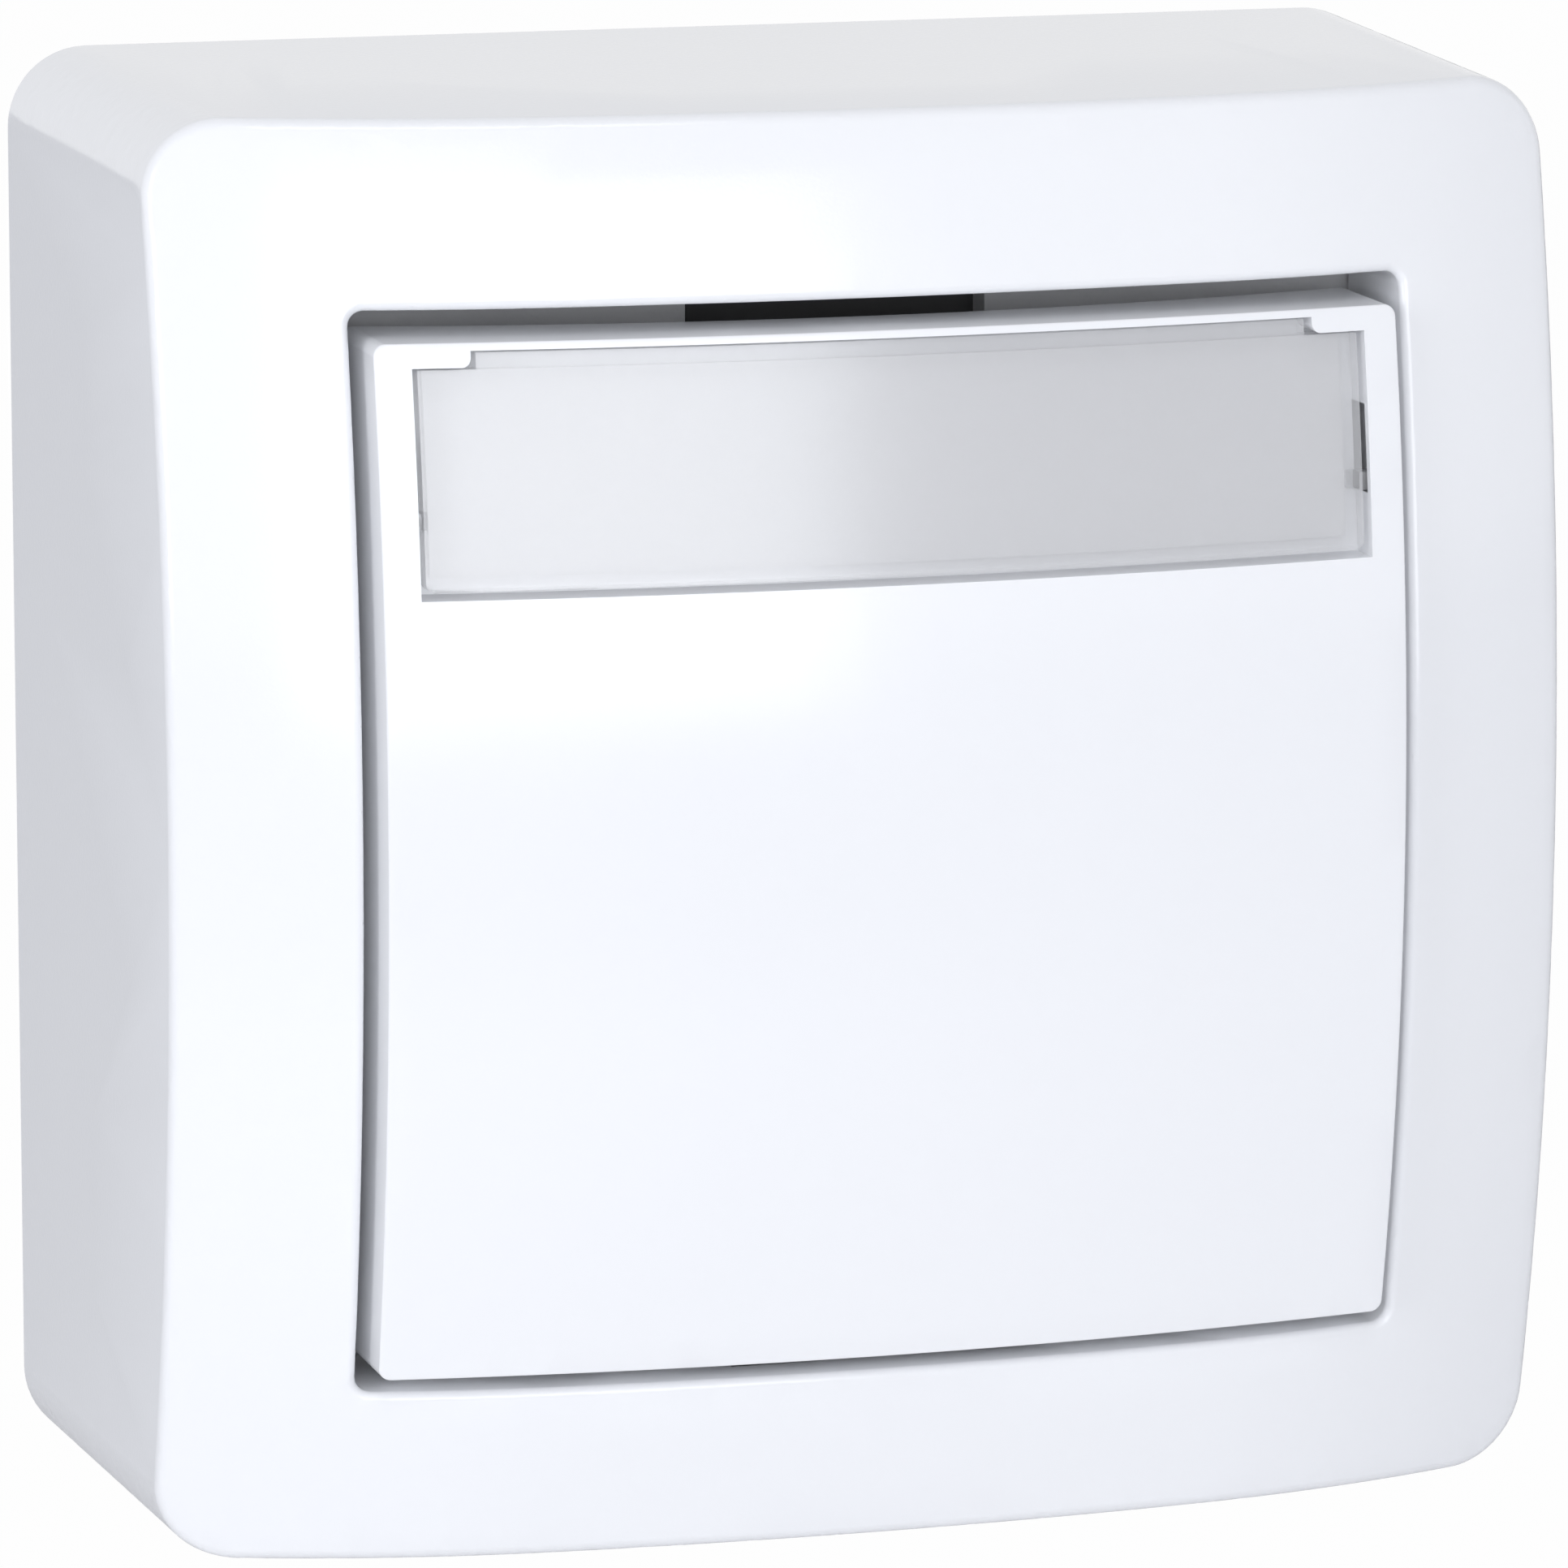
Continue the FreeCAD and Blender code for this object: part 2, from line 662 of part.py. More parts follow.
# Two slots in the lower wall of the collar take a flat blade that levers the key or the casing off.
slot_start = tool_slot_rib / 2
slot_end = slot_start + tool_slot_width
slot_floor = -(aperture_height / 2) - collar_wall - cut_spare
for left, right in ((slot_start, slot_end), (-slot_end, -slot_start)):
    slot = box(left, right, -tool_slot_depth, cut_spare - collar_back)
    pocket(casing, slot_floor, join_lap - aperture_height / 2, slot, role="XY_Plane")

# Four ledges inside the left and right walls catch behind the hooks of the wall plate.
ledge_face = inner_across - ledge_reach
ledge_root = inner_across + join_lap
ledge_front = ledge_depth + ledge_thickness
for side in (-1, 1):
    for up in (latch_height, -latch_height):
        low = up - ledge_length / 2
        high = up + ledge_length / 2
        if side > 0:
            ledge = box(ledge_face, ledge_root, low, high)
        else:
            ledge = box(-ledge_root, -ledge_face, low, high)
        pad(casing, ledge_depth, ledge_front, ledge)

# Wall plate: a shallow tray that screws to the wall and carries the frame on four posts.
base = new_body("base_plate")
base_across = inner_across - base_gap
base_upright = inner_upright - base_gap
pad(base, 0, base_rim_depth, centred(base_across * 2, base_upright * 2))
round_edges(base, base_corner, is_upright_corner)
pocket(
    base, base_floor, base_rim_depth,
    centred((base_across - base_rim_wall) * 2, (base_upright - base_rim_wall) * 2),
)
post_centres = [
    ((base_across - post_inset) * side, (base_upright - post_inset) * up)
    for side in (-1, 1) for up in (-1, 1)
]
pad(base, base_floor / 2, frame_back, *[circle(x, z, post_width) for x, z in post_centres])
pilot = screw_shank + screw_clearance * 2
pocket(base, frame_back - pilot_depth, frame_back, *[circle(x, z, pilot) for x, z in post_centres])

# Each latch is a tongue on the inside of the rim, with a hook that lies in front of its ledge.
latch_face = ledge_face - latch_gap
hook_start = ledge_front + latch_gap
for side in (-1, 1):
    for up in (latch_height, -latch_height):
        low = up - latch_width / 2
        high = up + latch_width / 2
        if side > 0:
            tongue = box(latch_face - latch_wall, latch_face, low, high)
            hook = box(latch_face - latch_wall / 2, latch_face + latch_hook, low, high)
        else:
            tongue = box(-latch_face, latch_wall - latch_face, low, high)
            hook = box(-latch_face - latch_hook, latch_wall / 2 - latch_face, low, high)
        pad(base, latch_root_depth, latch_depth, tongue)
        pad(base, hook_start, latch_depth, hook)

# Two pairs of slots for the wall screws, one pair upright and one level, each slot along its line.
half_slot = (wall_slot_length - wall_slot_width) / 2
for up in (wall_slot_spacing / 2, -wall_slot_spacing / 2):
    upright_slot = box(-wall_slot_width / 2, wall_slot_width / 2, up - half_slot, up + half_slot)
    pocket(base, 0, base_floor, upright_slot)
    ends = [circle(0, up + half_slot * way, wall_slot_width) for way in (-1, 1)]
    pocket(base, 0, base_floor, *ends)
for across in (wall_slot_spacing / 2, -wall_slot_spacing / 2):
    level_slot = box(across - half_slot, across + half_slot, -wall_slot_width / 2, wall_slot_width / 2)
    pocket(base, 0, base_floor, level_slot)
    ends = [circle(across + half_slot * way, 0, wall_slot_width) for way in (-1, 1)]
    pocket(base, 0, base_floor, *ends)

cable_entry = new_body("base_cable_entry")
entry_low = cable_entry_top - cable_entry_height
pad(
    cable_entry, -base_floor, base_floor * 2,
    box(-cable_entry_width / 2, cable_entry_width / 2, entry_low, cable_entry_top),
)
round_edges(cable_entry, cable_entry_corner, is_upright_corner)
boolean(base, "Cut", cable_entry)

# Thin places in the rim break out for a cable that runs on the wall.
knock_low = -knockout_low
knock_high = -knockout_low - knockout_height
level_knock = box(-knockout_width / 2, knockout_width / 2, knock_high, knock_low)
upright_knock = box(knock_high, knock_low, -knockout_width / 2, knockout_width / 2)
pocket(base, base_upright - knockout_recess, base_upright, level_knock, role="XY_Plane")
pocket(base, -base_upright, knockout_recess - base_upright, level_knock, role="XY_Plane")
pocket(base, base_across - knockout_recess, base_across, upright_knock, role="YZ_Plane")
pocket(base, -base_across, knockout_recess - base_across, upright_knock, role="YZ_Plane")

# Support frame: the plate that closes the tray, holds the mechanism and carries the key's hinge.
frame = new_body("support_frame")
frame_across = inner_across - frame_gap
frame_upright = inner_upright - frame_gap
pad(frame, frame_back, frame_depth, centred(frame_across * 2, frame_upright * 2))
round_edges(frame, frame_corner, is_upright_corner)
mouth_across = housing_width / 2 - housing_wall
window_across = mouth_across - cover_gap - frame_window_lap
window_low = housing_low + housing_wall + cover_gap + frame_window_lap
window_high = housing_high - housing_wall - cover_gap - frame_window_lap
pocket(frame, frame_back, frame_depth, box(-window_across, window_across, window_low, window_high))
notch = box(-frame_notch_width / 2, frame_notch_width / 2, frame_notch_low, frame_notch_high)
pocket(frame, frame_back, frame_depth, notch)
pocket(frame, frame_back, frame_depth, *[circle(x, z, pilot) for x, z in post_centres])
screw_seat = frame_depth - screw_sink
head_recess = screw_head + screw_head_gap * 2
pocket(frame, screw_seat, frame_depth, *[circle(x, z, head_recess) for x, z in post_centres])
small_pilot = small_screw_shank + screw_clearance * 2
small_screw_centres = [((flange_width / 2 - ear_inset) * side, guide_height) for side in (-1, 1)]
pocket(frame, frame_back, frame_depth, *[circle(x, z, small_pilot) for x, z in small_screw_centres])

# Two bearing lugs stand on the frame, one each side, and the carrier's trunnions turn in them.
lug_root = frame_plate / 2 - frame_depth
lug_box = box(-hinge_depth, lug_root, hinge_height - lug_radius, hinge_height + lug_radius)
lug_eye = circle(-hinge_depth, hinge_height, lug_radius * 2)
lug_bore = circle(-hinge_depth, hinge_height, trunnion_width + trunnion_clearance * 2)
for low, high in ((lug_inner, lug_outer), (-lug_outer, -lug_inner)):
    pad(frame, low, high, lug_box, role="YZ_Plane")
    pad(frame, low, high, lug_eye, role="YZ_Plane")
    pocket(frame, low, high, lug_bore, role="YZ_Plane")

# Mechanism housing: a moulded box behind the frame, with two ears for its screws and a tab that
# closes the frame's notch from behind.
housing = new_body("mechanism_housing")
cover_depth = frame_back - cover_front_gap
cover_back = cover_depth - cover_thickness
housing_back = frame_back - housing_length
housing_floor = housing_back + housing_wall
flange_back = frame_back - flange_thickness
half_housing = housing_width / 2
pad(housing, housing_back, frame_back, box(-half_housing, half_housing, housing_low, housing_high))
pad(housing, flange_back, frame_back, box(-flange_width / 2, flange_width / 2, ear_low, ear_high))
tab_half = frame_notch_width / 2 + flange_tab_side_lap
tab = box(-tab_half, tab_half, housing_high - housing_wall, frame_notch_high + flange_tab_top_lap)
pad(housing, flange_back, frame_back, tab)
bosses = [circle(x, z, boss_width) for x, z in small_screw_centres]
pad(housing, frame_back - boss_length, frame_back, *bosses)
pocket(
    housing, frame_depth - small_screw_length - screw_clearance, frame_back,
    *[circle(x, z, small_pilot) for x, z in small_screw_centres],
)
seat_low = housing_low + housing_wall
seat_high = housing_high - housing_wall
cavity_across = mouth_across - cover_step
cavity_low = seat_low + cover_step
cavity_high = seat_high - cover_step
pocket(housing, cover_back, frame_back, box(-mouth_across, mouth_across, seat_low, seat_high))
pocket(housing, housing_floor, cover_back, box(-cavity_across, cavity_across, cavity_low, cavity_high))
pillar_root = housing_floor - join_lap
for middle in (-terminal_pitch / 2, terminal_pitch / 2):
    wall = box(middle - partition / 2, middle + partition / 2, cavity_low - join_lap, partition_top)
    pad(housing, pillar_root, cover_back, wall)

# Pillars on the housing's floor carry the contact strips, and a peg holds the contact spring.
clamp_front_depth = cover_back - clamp_cover_gap
clamp_back_depth = clamp_front_depth - clamp_length
tail_depth = clamp_front_depth - clamp_end_wall - tail_gap
common_root_depth = tail_depth - common_root_length
lever_depth = cover_back - lever_sink
strip_back = tail_depth - strip_thickness
moving_back = lever_depth - lever_thickness - rivet_dome
make_rivet_front = moving_back - contact_travel
make_front = make_rivet_front - rivet_dome
make_back = make_front - strip_thickness
pillar_across = pillar_width / 2
for across, low, high, top in (
    (-terminal_pitch, 0.0, pillar_width, strip_back),
    (terminal_pitch, -pillar_across, pillar_across, make_back),
):
    pad(housing, pillar_root, top, box(across - pillar_across, across + pillar_across, low, high))
root_back = lever_root - lever_eye / 2 - lever_root_gap - strip_thickness
root_pillar = box(-pillar_across, pillar_across, root_back - root_pillar_lap, root_back + strip_thickness)
pad(housing, pillar_root, common_root_depth, root_pillar)
spring_peg = circle(0, contact_spring_height, contact_spring_radius)
pad(housing, pillar_root, housing_floor + peg_length, spring_peg)

# The wires enter through round holes in the lower wall, one for each terminal.
wire_depth = (clamp_back_depth + clamp_end_wall + strip_back) / 2
terminals = (("break", -terminal_pitch), ("common", 0), ("make", terminal_pitch))
for _, across in terminals:
    wire_entry = circle(across, -wire_depth, wire_hole)
    pocket(housing, housing_low - cut_spare, cavity_low + join_lap, wire_entry, role="XY_Plane")

# Mechanism cover: the lid that lies on the housing's ledge under the edge of the frame. It guides
# the plunger, seats both return springs, and has a hook that keeps the carrier from springing out.
cover = new_body("mechanism_cover")
lid_across = mouth_across - cover_gap
pad(cover, cover_back, cover_depth, box(-lid_across, lid_across, seat_low + cover_gap, seat_high - cover_gap))
pad(cover, cover_back, guide_depth, circle(0, guide_height, guide_width))
hook_face = carrier_low - hook_gap
hook_back = hook_face - hook_wall
hook_nose_back = carrier_depth + hook_nose_gap
hook_top = hook_nose_back + hook_nose_height
pad(cover, cover_back, hook_top, box(-hook_width / 2, hook_width / 2, hook_back, hook_face))
nose = box(-hook_width / 2, hook_width / 2, hook_back + hook_wall / 2, hook_face + hook_nose)
pad(cover, hook_nose_back, hook_top, nose)
pocket(cover, cover_back, guide_depth, circle(0, guide_height, plunger_width + plunger_clearance * 2))
clamp_middle = (clamp_low + clamp_high) / 2
for _, across in terminals:
    pocket(cover, cover_back, cover_depth, circle(across, clamp_middle, driver_hole))
cup = (return_spring_radius + return_spring_wire / 2 + spring_cup_gap) * 2
spring_centres = [(spring_across / 2 * side, spring_height) for side in (-1, 1)]
pocket(cover, cover_depth - spring_cup_sink, cover_depth, *[circle(x, z, cup) for x, z in spring_centres])

# Carrier: the hinged cradle under the key, with its trunnions, spring pegs and key pins.
carrier = new_body("key_carrier")
trunnion_end = lug_outer - trunnion_inset
arm_across = lug_inner - carrier_gap
pad(
    carrier, carrier_back, carrier_depth,
    box(-carrier_width / 2, carrier_width / 2, carrier_low, carrier_arm_low + join_lap),
)
pad(carrier, carrier_back, carrier_depth, box(-arm_across, arm_across, carrier_arm_low, carrier_top))
hub = circle(-hinge_depth, hinge_height, hub_width)
trunnion = circle(-hinge_depth, hinge_height, trunnion_width)
pad(carrier, arm_across - hub_length, arm_across, hub, role="YZ_Plane")
pad(carrier, -arm_across, hub_length - arm_across, hub, role="YZ_Plane")
pad(carrier, arm_across - join_lap, trunnion_end, trunnion, role="YZ_Plane")
pad(carrier, -trunnion_end, join_lap - arm_across, trunnion, role="YZ_Plane")
spring_pegs = [circle(x, z, peg_width) for x, z in spring_centres]
pad(carrier, carrier_back - peg_length, carrier_back + join_lap, *spring_pegs)
key_posts = [(key_post_across / 2 * side, up) for side in (-1, 1) for up in (key_post_low, key_post_high)]
key_pins = [circle(x, z, pin_width) for x, z in key_posts]
pad(carrier, carrier_depth - join_lap, carrier_depth + pin_length, *key_pins)


# Key: a moulded cap with the same kind of crown as the casing, a skirt, and a recess for the label.
key_reach = key_width / 2 + crown_spare


def key_crown(name, inset):
    profile = crown_line(key_reach, 0, key_depth - inset, key_wide_radius - inset)
    return crown(name, profile, key_depth - inset, key_upright_radius - inset)


key_back_level = frame_depth
key_front_level = key_depth + crown_spare
key = new_body("push_key")
key_outline = box(-key_width / 2, key_width / 2, key_low, key_high)
pad(key, key_back_level, key_front_level, key_outline)
round_edges(key, key_corner, is_upright_corner)
boolean(key, "Common", key_crown("key_crown_front", 0.0))
round_edges(key, key_edge_round, is_front_rim(key_width, key_high * 2))

key_cavity = new_body("key_cavity")
skirt_across = key_width / 2 - key_skirt_wall
skirt_inside = box(-skirt_across, skirt_across, key_low + key_skirt_wall, key_high - key_skirt_wall)
pad(key_cavity, key_back_level - cut_spare, key_front_level, skirt_inside)
boolean(key_cavity, "Common", key_crown("key_crown_inner", key_face))
boolean(key, "Cut", key_cavity)

# Behind the key's face: the floor under the label recess, the four posts and two ribs.
recess_backing = new_body("key_recess_backing")
pad(
    recess_backing, key_back_level, key_front_level,
    box(
        -recess_half - recess_floor, recess_half + recess_floor,
        recess_low - recess_floor, recess_top - backing_gap,
    ),
)
boolean(recess_backing, "Common", key_crown("key_crown_backing", key_face / 2))
boolean(recess_backing, "Cut", key_crown("key_crown_floor", recess_sink + recess_floor))
boolean(key, "Fuse", recess_backing)


# The skirt's rear edge is a shallow arch, deepest at the corners.
def arch_line(sketch):
    turn = math.asin(plain(key_reach) / plain(key_skirt_radius))
    high = plain(key_skirt_radius) - plain(key_skirt_depth)
    arc = arc_about(sketch, 0, high, plain(key_skirt_radius), -turn, turn)
    pin_point(sketch, arc, 3, 0, key_skirt_radius - key_skirt_depth)
    tie_number(sketch, "Radius", arc, key_skirt_radius)
    close_behind(sketch, arc, arc, key_reach, key_back_level - crown_spare)


arch = new_body("key_skirt_arch")
pad(arch, key_low - cut_spare, key_high + cut_spare, arch_line, role="XY_Plane")
boolean(key, "Cut", arch)

post_set = new_body("key_posts")
rib_low = key_low + key_skirt_wall / 2
for side in (-1, 1):
    middle = key_post_across / 2 * side
    rib = box(middle - rib_wall / 2, middle + rib_wall / 2, rib_low, recess_low)
    pad(post_set, rib_depth, key_front_level, rib)
    centres = [circle(x, z, key_post_width) for x, z in key_posts if plain(x) * side > 0]
    pad(post_set, carrier_depth, key_front_level, *centres)
boolean(post_set, "Common", key_crown("key_crown_posts", key_face / 2))
boolean(key, "Fuse", post_set)
bore = pin_width + pin_clearance * 2
bore_end = carrier_depth + pin_length + join_lap
pocket(key, carrier_depth, bore_end, *[circle(x, z, bore) for x, z in key_posts])


def recess_outline(side_gap, low_gap, top_gap):
    """The label recess's outline: a wide field whose middle reaches higher, between two tabs."""
    wide = recess_half - side_gap
    middle = tab_across - side_gap
    low = recess_low + low_gap
    high = recess_high - top_gap
    top = recess_top - top_gap
    return polygon(
        (-wide, low), (wide, low), (wide, high), (middle, high),
        (middle, top), (-middle, top), (-middle, high), (-wide, high),
    )


def is_tab_corner(points):
    at_tab = abs(abs(points[0].x) - plain(tab_across)) < 0.5
    return runs_along(points, "y") and at_tab and points[0].z < plain(recess_high) + 0.01


def is_low_corner(points):
    return runs_along(points, "y") and points[0].z < plain(recess_low) + 1


recess = new_body("key_recess")
pad(recess, key_back_level, key_front_level, recess_outline(0.0, 0.0, 0.0))
round_edges(recess, window_corner, is_tab_corner)
boolean(recess, "Cut", key_crown("key_crown_recess", recess_sink))
boolean(key, "Cut", recess)
slot_face = recess_half + slot_reach
nib_slots = new_body("key_nib_slots")
for low, high in ((recess_half - slot_lap, slot_face), (-slot_face, slot_lap - recess_half)):
    pad(nib_slots, key_back_level, key_front_level, box(low, high, slot_low, slot_high))
boolean(nib_slots, "Common", key_crown("key_crown_slots", slot_cover))
boolean(key, "Cut", nib_slots)

# Label window: a clear moulded cover that follows the crown, with a nib each side in the key's slot.
window = new_body("label_window")
pad(window, key_back_level, key_front_level, recess_outline(window_side_gap, window_low_gap, window_top_gap))
round_edges(window, window_corner, is_low_corner)
boolean(window, "Common", key_crown("window_front", window_sink))
boolean(window, "Cut", key_crown("window_back", window_sink + window_thickness))
nib_low = slot_low + nib_gap
nib_front = key_depth - nib_sink
window_edge = recess_half - window_side_gap
nib_end = recess_half + nib_reach
for low, high in ((window_edge - join_lap, nib_end), (-nib_end, join_lap - window_edge)):
    pad(window, nib_front - nib_thickness, nib_front, box(low, high, nib_low, nib_low + nib_height))

# Label card: a blank card, bent to the same crown behind the window.
card = new_body("label_card")
card_half = window_edge - card_inset
card_low = recess_low + window_low_gap + card_inset
card_high = recess_high - window_top_gap - card_inset / 3
pad(card, key_back_level, key_front_level, box(-card_half, card_half, card_low, card_high))
card_front = window_sink + window_thickness + card_gap
boolean(card, "Common", key_crown("card_front", card_front))
boolean(card, "Cut", key_crown("card_back", card_front + card_thickness))

# Plunger: a moulded rod with a stop flange behind the cover and two domed ends.
plunger = new_body("plunger")
plunger_back = lever_depth + plunger_gap
plunger_front = carrier_back - plunger_gap
flange_front = cover_back - plunger_flange_gap
pad(plunger, plunger_back, plunger_front, circle(0, guide_height, plunger_width))
pad(plunger, flange_front - plunger_flange_height, flange_front, circle(0, guide_height, plunger_flange))


def is_plunger_end(points):
    return any(all(abs(p.y + plain(end)) < 0.01 for p in points) for end in (plunger_back, plunger_front))


round_edges(plunger, plunger_dome, is_plunger_end)

# Contact lever: a spring-bronze strip that turns about the rolled eye at its lower end, with a
# silver rivet near its tip.
rivet_hole = rivet_shank + rivet_clearance * 2
lever = new_body("contact_lever")
lever_back = lever_depth - lever_thickness
pad(lever, lever_back, lever_depth, box(-lever_width / 2, lever_width / 2, lever_root, lever_top))
eye = circle(lever_thickness / 2 - lever_depth, lever_root, lever_eye)
pad(lever, -lever_width / 2, lever_width / 2, eye, role="YZ_Plane")
pocket(lever, lever_back, lever_depth, circle(0, rivet_height, rivet_hole))


def rivet(name, back, front, back_dome, front_dome):
    """A contact rivet: its shank between two depths, and a domed head at one end or at both."""
    body = new_body(name)
    pad(body, back, front, circle(0, rivet_height, rivet_shank))
    heads = []
    if back_dome:
        pad(body, back - rivet_dome, back, circle(0, rivet_height, rivet_width))
        heads.append(plain(back - rivet_dome))
    if front_dome:
        pad(body, front, front + rivet_dome, circle(0, rivet_height, rivet_width))
        heads.append(plain(front + rivet_dome))
    round_edges(
        body, rivet_round,
        lambda points: any(all(abs(p.y + level) < 0.01 for p in points) for level in heads),
    )
    return body


rivet("moving_contact_rivet", lever_back, lever_depth, True, True)

# Contact strips: stamped brass, each from its contact to the tail in its terminal clamp.
half_strip = strip_width / 2
arm_low = rivet_height - half_strip
arm_high = rivet_height + half_strip

break_strip = new_body("break_contact_strip")
pad(break_strip, strip_back, tail_depth, box(-terminal_pitch - half_strip, half_strip, arm_low, arm_high))
break_leg = box(-terminal_pitch - half_strip, half_strip - terminal_pitch, tail_low, arm_high)
pad(break_strip, strip_back, tail_depth, break_leg)
pocket(break_strip, strip_back, tail_depth, circle(0, rivet_height, rivet_hole))
rivet("break_contact_rivet", strip_back, tail_depth, True, False)

make_strip = new_body("make_contact_strip")
make_left = terminal_pitch - half_strip
make_right = terminal_pitch + half_strip
pad(make_strip, make_back, make_front, box(-half_strip, make_right, arm_low, arm_high))
pad(make_strip, make_back, make_front, box(make_left, make_right, strip_fold, arm_high))
pad(make_strip, make_back, tail_depth, box(make_left, make_right, strip_fold - strip_thickness, strip_fold))
pad(make_strip, strip_back, tail_depth, box(make_left, make_right, tail_low, strip_fold))
pocket(make_strip, make_back, make_front, circle(0, rivet_height, rivet_hole))
rivet("make_contact_rivet", make_back, make_front, False, True)

common = new_body("common_terminal")
root_front = root_back + strip_thickness
pad(common, strip_back, tail_depth, box(-half_strip, half_strip, tail_low, root_front))
pad(common, common_root_depth, tail_depth, box(-half_strip, half_strip, root_back, root_front))

# Terminal clamps: square brass cages round the tails, each pulled up by its own screw.
for name, middle in terminals:
    clamp = new_body(f"terminal_clamp_{name}")
    left = middle - clamp_width / 2
    right = middle + clamp_width / 2
    outer = box(left, right, -clamp_front_depth, -clamp_back_depth)
    inner = box(
        left + clamp_side_wall, right - clamp_side_wall,
        clamp_end_wall - clamp_front_depth, -clamp_back_depth - clamp_end_wall,
    )
    pad(clamp, clamp_low, clamp_high, outer, inner, role="XY_Plane")
    thread = circle(middle, clamp_middle, clamp_screw_shank + clamp_screw_gap * 2)
    pocket(clamp, clamp_front_depth - clamp_end_wall, clamp_front_depth, thread)

    screw = new_body(f"terminal_screw_{name}")
    head_back = clamp_front_depth + clamp_screw_lift
    head_front = head_back + clamp_screw_head_height
    pad(screw, tail_depth + clamp_screw_gap, head_back, circle(middle, clamp_middle, clamp_screw_shank))
    pad(screw, head_back, head_front, circle(middle, clamp_middle, clamp_screw_head))
    driver_slot = box(
        middle - clamp_screw_head, middle + clamp_screw_head,
        clamp_middle - cross_width / 2, clamp_middle + cross_width / 2,
    )
    pocket(screw, head_front - clamp_screw_head_height / 2, head_front, driver_slot)


def cross_screw(name, across, up, seat, shank, head, head_height, length):
    """A pan-head screw with a cross recess, its head standing on the depth seat."""
    body = new_body(name)
    pad(body, seat - length, seat, circle(across, up, shank))
    pad(body, seat, seat + head_height, circle(across, up, head))
    top = seat + head_height
    round_edges(body, head_height / 2, lambda points: all(abs(p.y + plain(top)) < 0.01 for p in points))
    arm = head * cross_share / 2
    half = cross_width / 2
    pocket(body, top - cross_sink, top, box(across - arm, across + arm, up - half, up + half))
    pocket(body, top - cross_sink, top, box(across - half, across + half, up - arm, up + arm))
    return body


def group(name, bodies):
    """Like fasteners, kept as separate solids under one name."""
    compound = doc.addObject("Part::Compound", name)
    compound.Links = bodies
    compound.Label = name
    return compound


frame_screws = []
for index, (across, up) in enumerate(post_centres):
    frame_screws.append(cross_screw(
        f"frame_screw_{index + 1}", across, up, screw_seat,
        screw_shank, screw_head, screw_head_height, screw_length,
    ))
housing_screws = []
for index, (across, up) in enumerate(small_screw_centres):
    housing_screws.append(cross_screw(
        f"housing_screw_{index + 1}", across, up, frame_depth,
        small_screw_shank, small_screw_head, small_screw_head_height, small_screw_length,
    ))
fastener_groups = [group("frame_screws", frame_screws), group("housing_screws", housing_screws)]


def bent_arc(start, corner, end):
    """The arc that leaves start towards corner and arrives at end from corner, both equally far."""
    middle = (start + end) * 0.5
    half_chord = (end - start).Length / 2
    rise = corner - middle
    radius = (corner - start).Length * half_chord / rise.Length
    height = radius - math.sqrt(radius * radius - half_chord * half_chord)
    return Part.Arc(start, middle + rise * (height / rise.Length), end).toShape()


def coil(name, across, up, back, front, radius, wire, turns):
    """A compression spring on a front-to-back axis: round wire swept along quarter-turn biarcs."""
    spring = doc.addObject("Part::Feature", name)
    spring.Label = name
    rise = (front - back - wire) / turns
    steps = int(round(turns)) * 4
    quarter = math.pi / 2

    def point(step):
        angle = step * quarter
        depth = back + wire / 2 + rise * step / 4
        return FreeCAD.Vector(across + radius * math.cos(angle), -depth, up + radius * math.sin(angle))

    def heading(step):
        angle = step * quarter
        way = FreeCAD.Vector(-radius * math.sin(angle), -rise / (2 * math.pi), radius * math.cos(angle))
        return way.normalize()

    edges = []
    for step in range(steps):
        start, end = point(step), point(step + 1)
        leave, arrive = heading(step), heading(step + 1)
        chord = end - start
        both = leave + arrive
        spread = 2 * (1 - leave.dot(arrive))
        reach = (math.sqrt(chord.dot(both) ** 2 + spread * chord.dot(chord)) - chord.dot(both)) / spread
        first_corner = start + leave * reach
        second_corner = end - arrive * reach
        joint = (first_corner + second_corner) * 0.5
        edges.append(bent_arc(start, first_corner, joint))
        edges.append(bent_arc(joint, second_corner, end))
    path = Part.Wire(edges)
    ring = Part.Wire([Part.makeCircle(wire / 2, point(0), heading(0))])
    spring.Shape = path.makePipeShell([ring], True, False)
    print(f"{name}: least gap between turns {rise - wire:.2f} mm, volume {spring.Shape.Volume:.3f} mm3")
    return spring


cup_floor = plain(cover_depth - spring_cup_sink)
seat_gap = plain(spring_seat_gap)
springs = []
for name, side in (("return_spring_left", -1), ("return_spring_right", 1)):
    springs.append(coil(
        name, side * plain(spring_across) / 2, plain(spring_height), cup_floor + seat_gap,
        plain(carrier_back) - seat_gap, plain(return_spring_radius), plain(return_spring_wire),
        plain(return_spring_turns),
    ))
springs.append(coil(
    "contact_spring", 0.0, plain(contact_spring_height), plain(housing_floor) + seat_gap,
    plain(lever_back) - seat_gap, plain(contact_spring_radius), plain(contact_spring_wire),
    plain(contact_spring_turns),
))

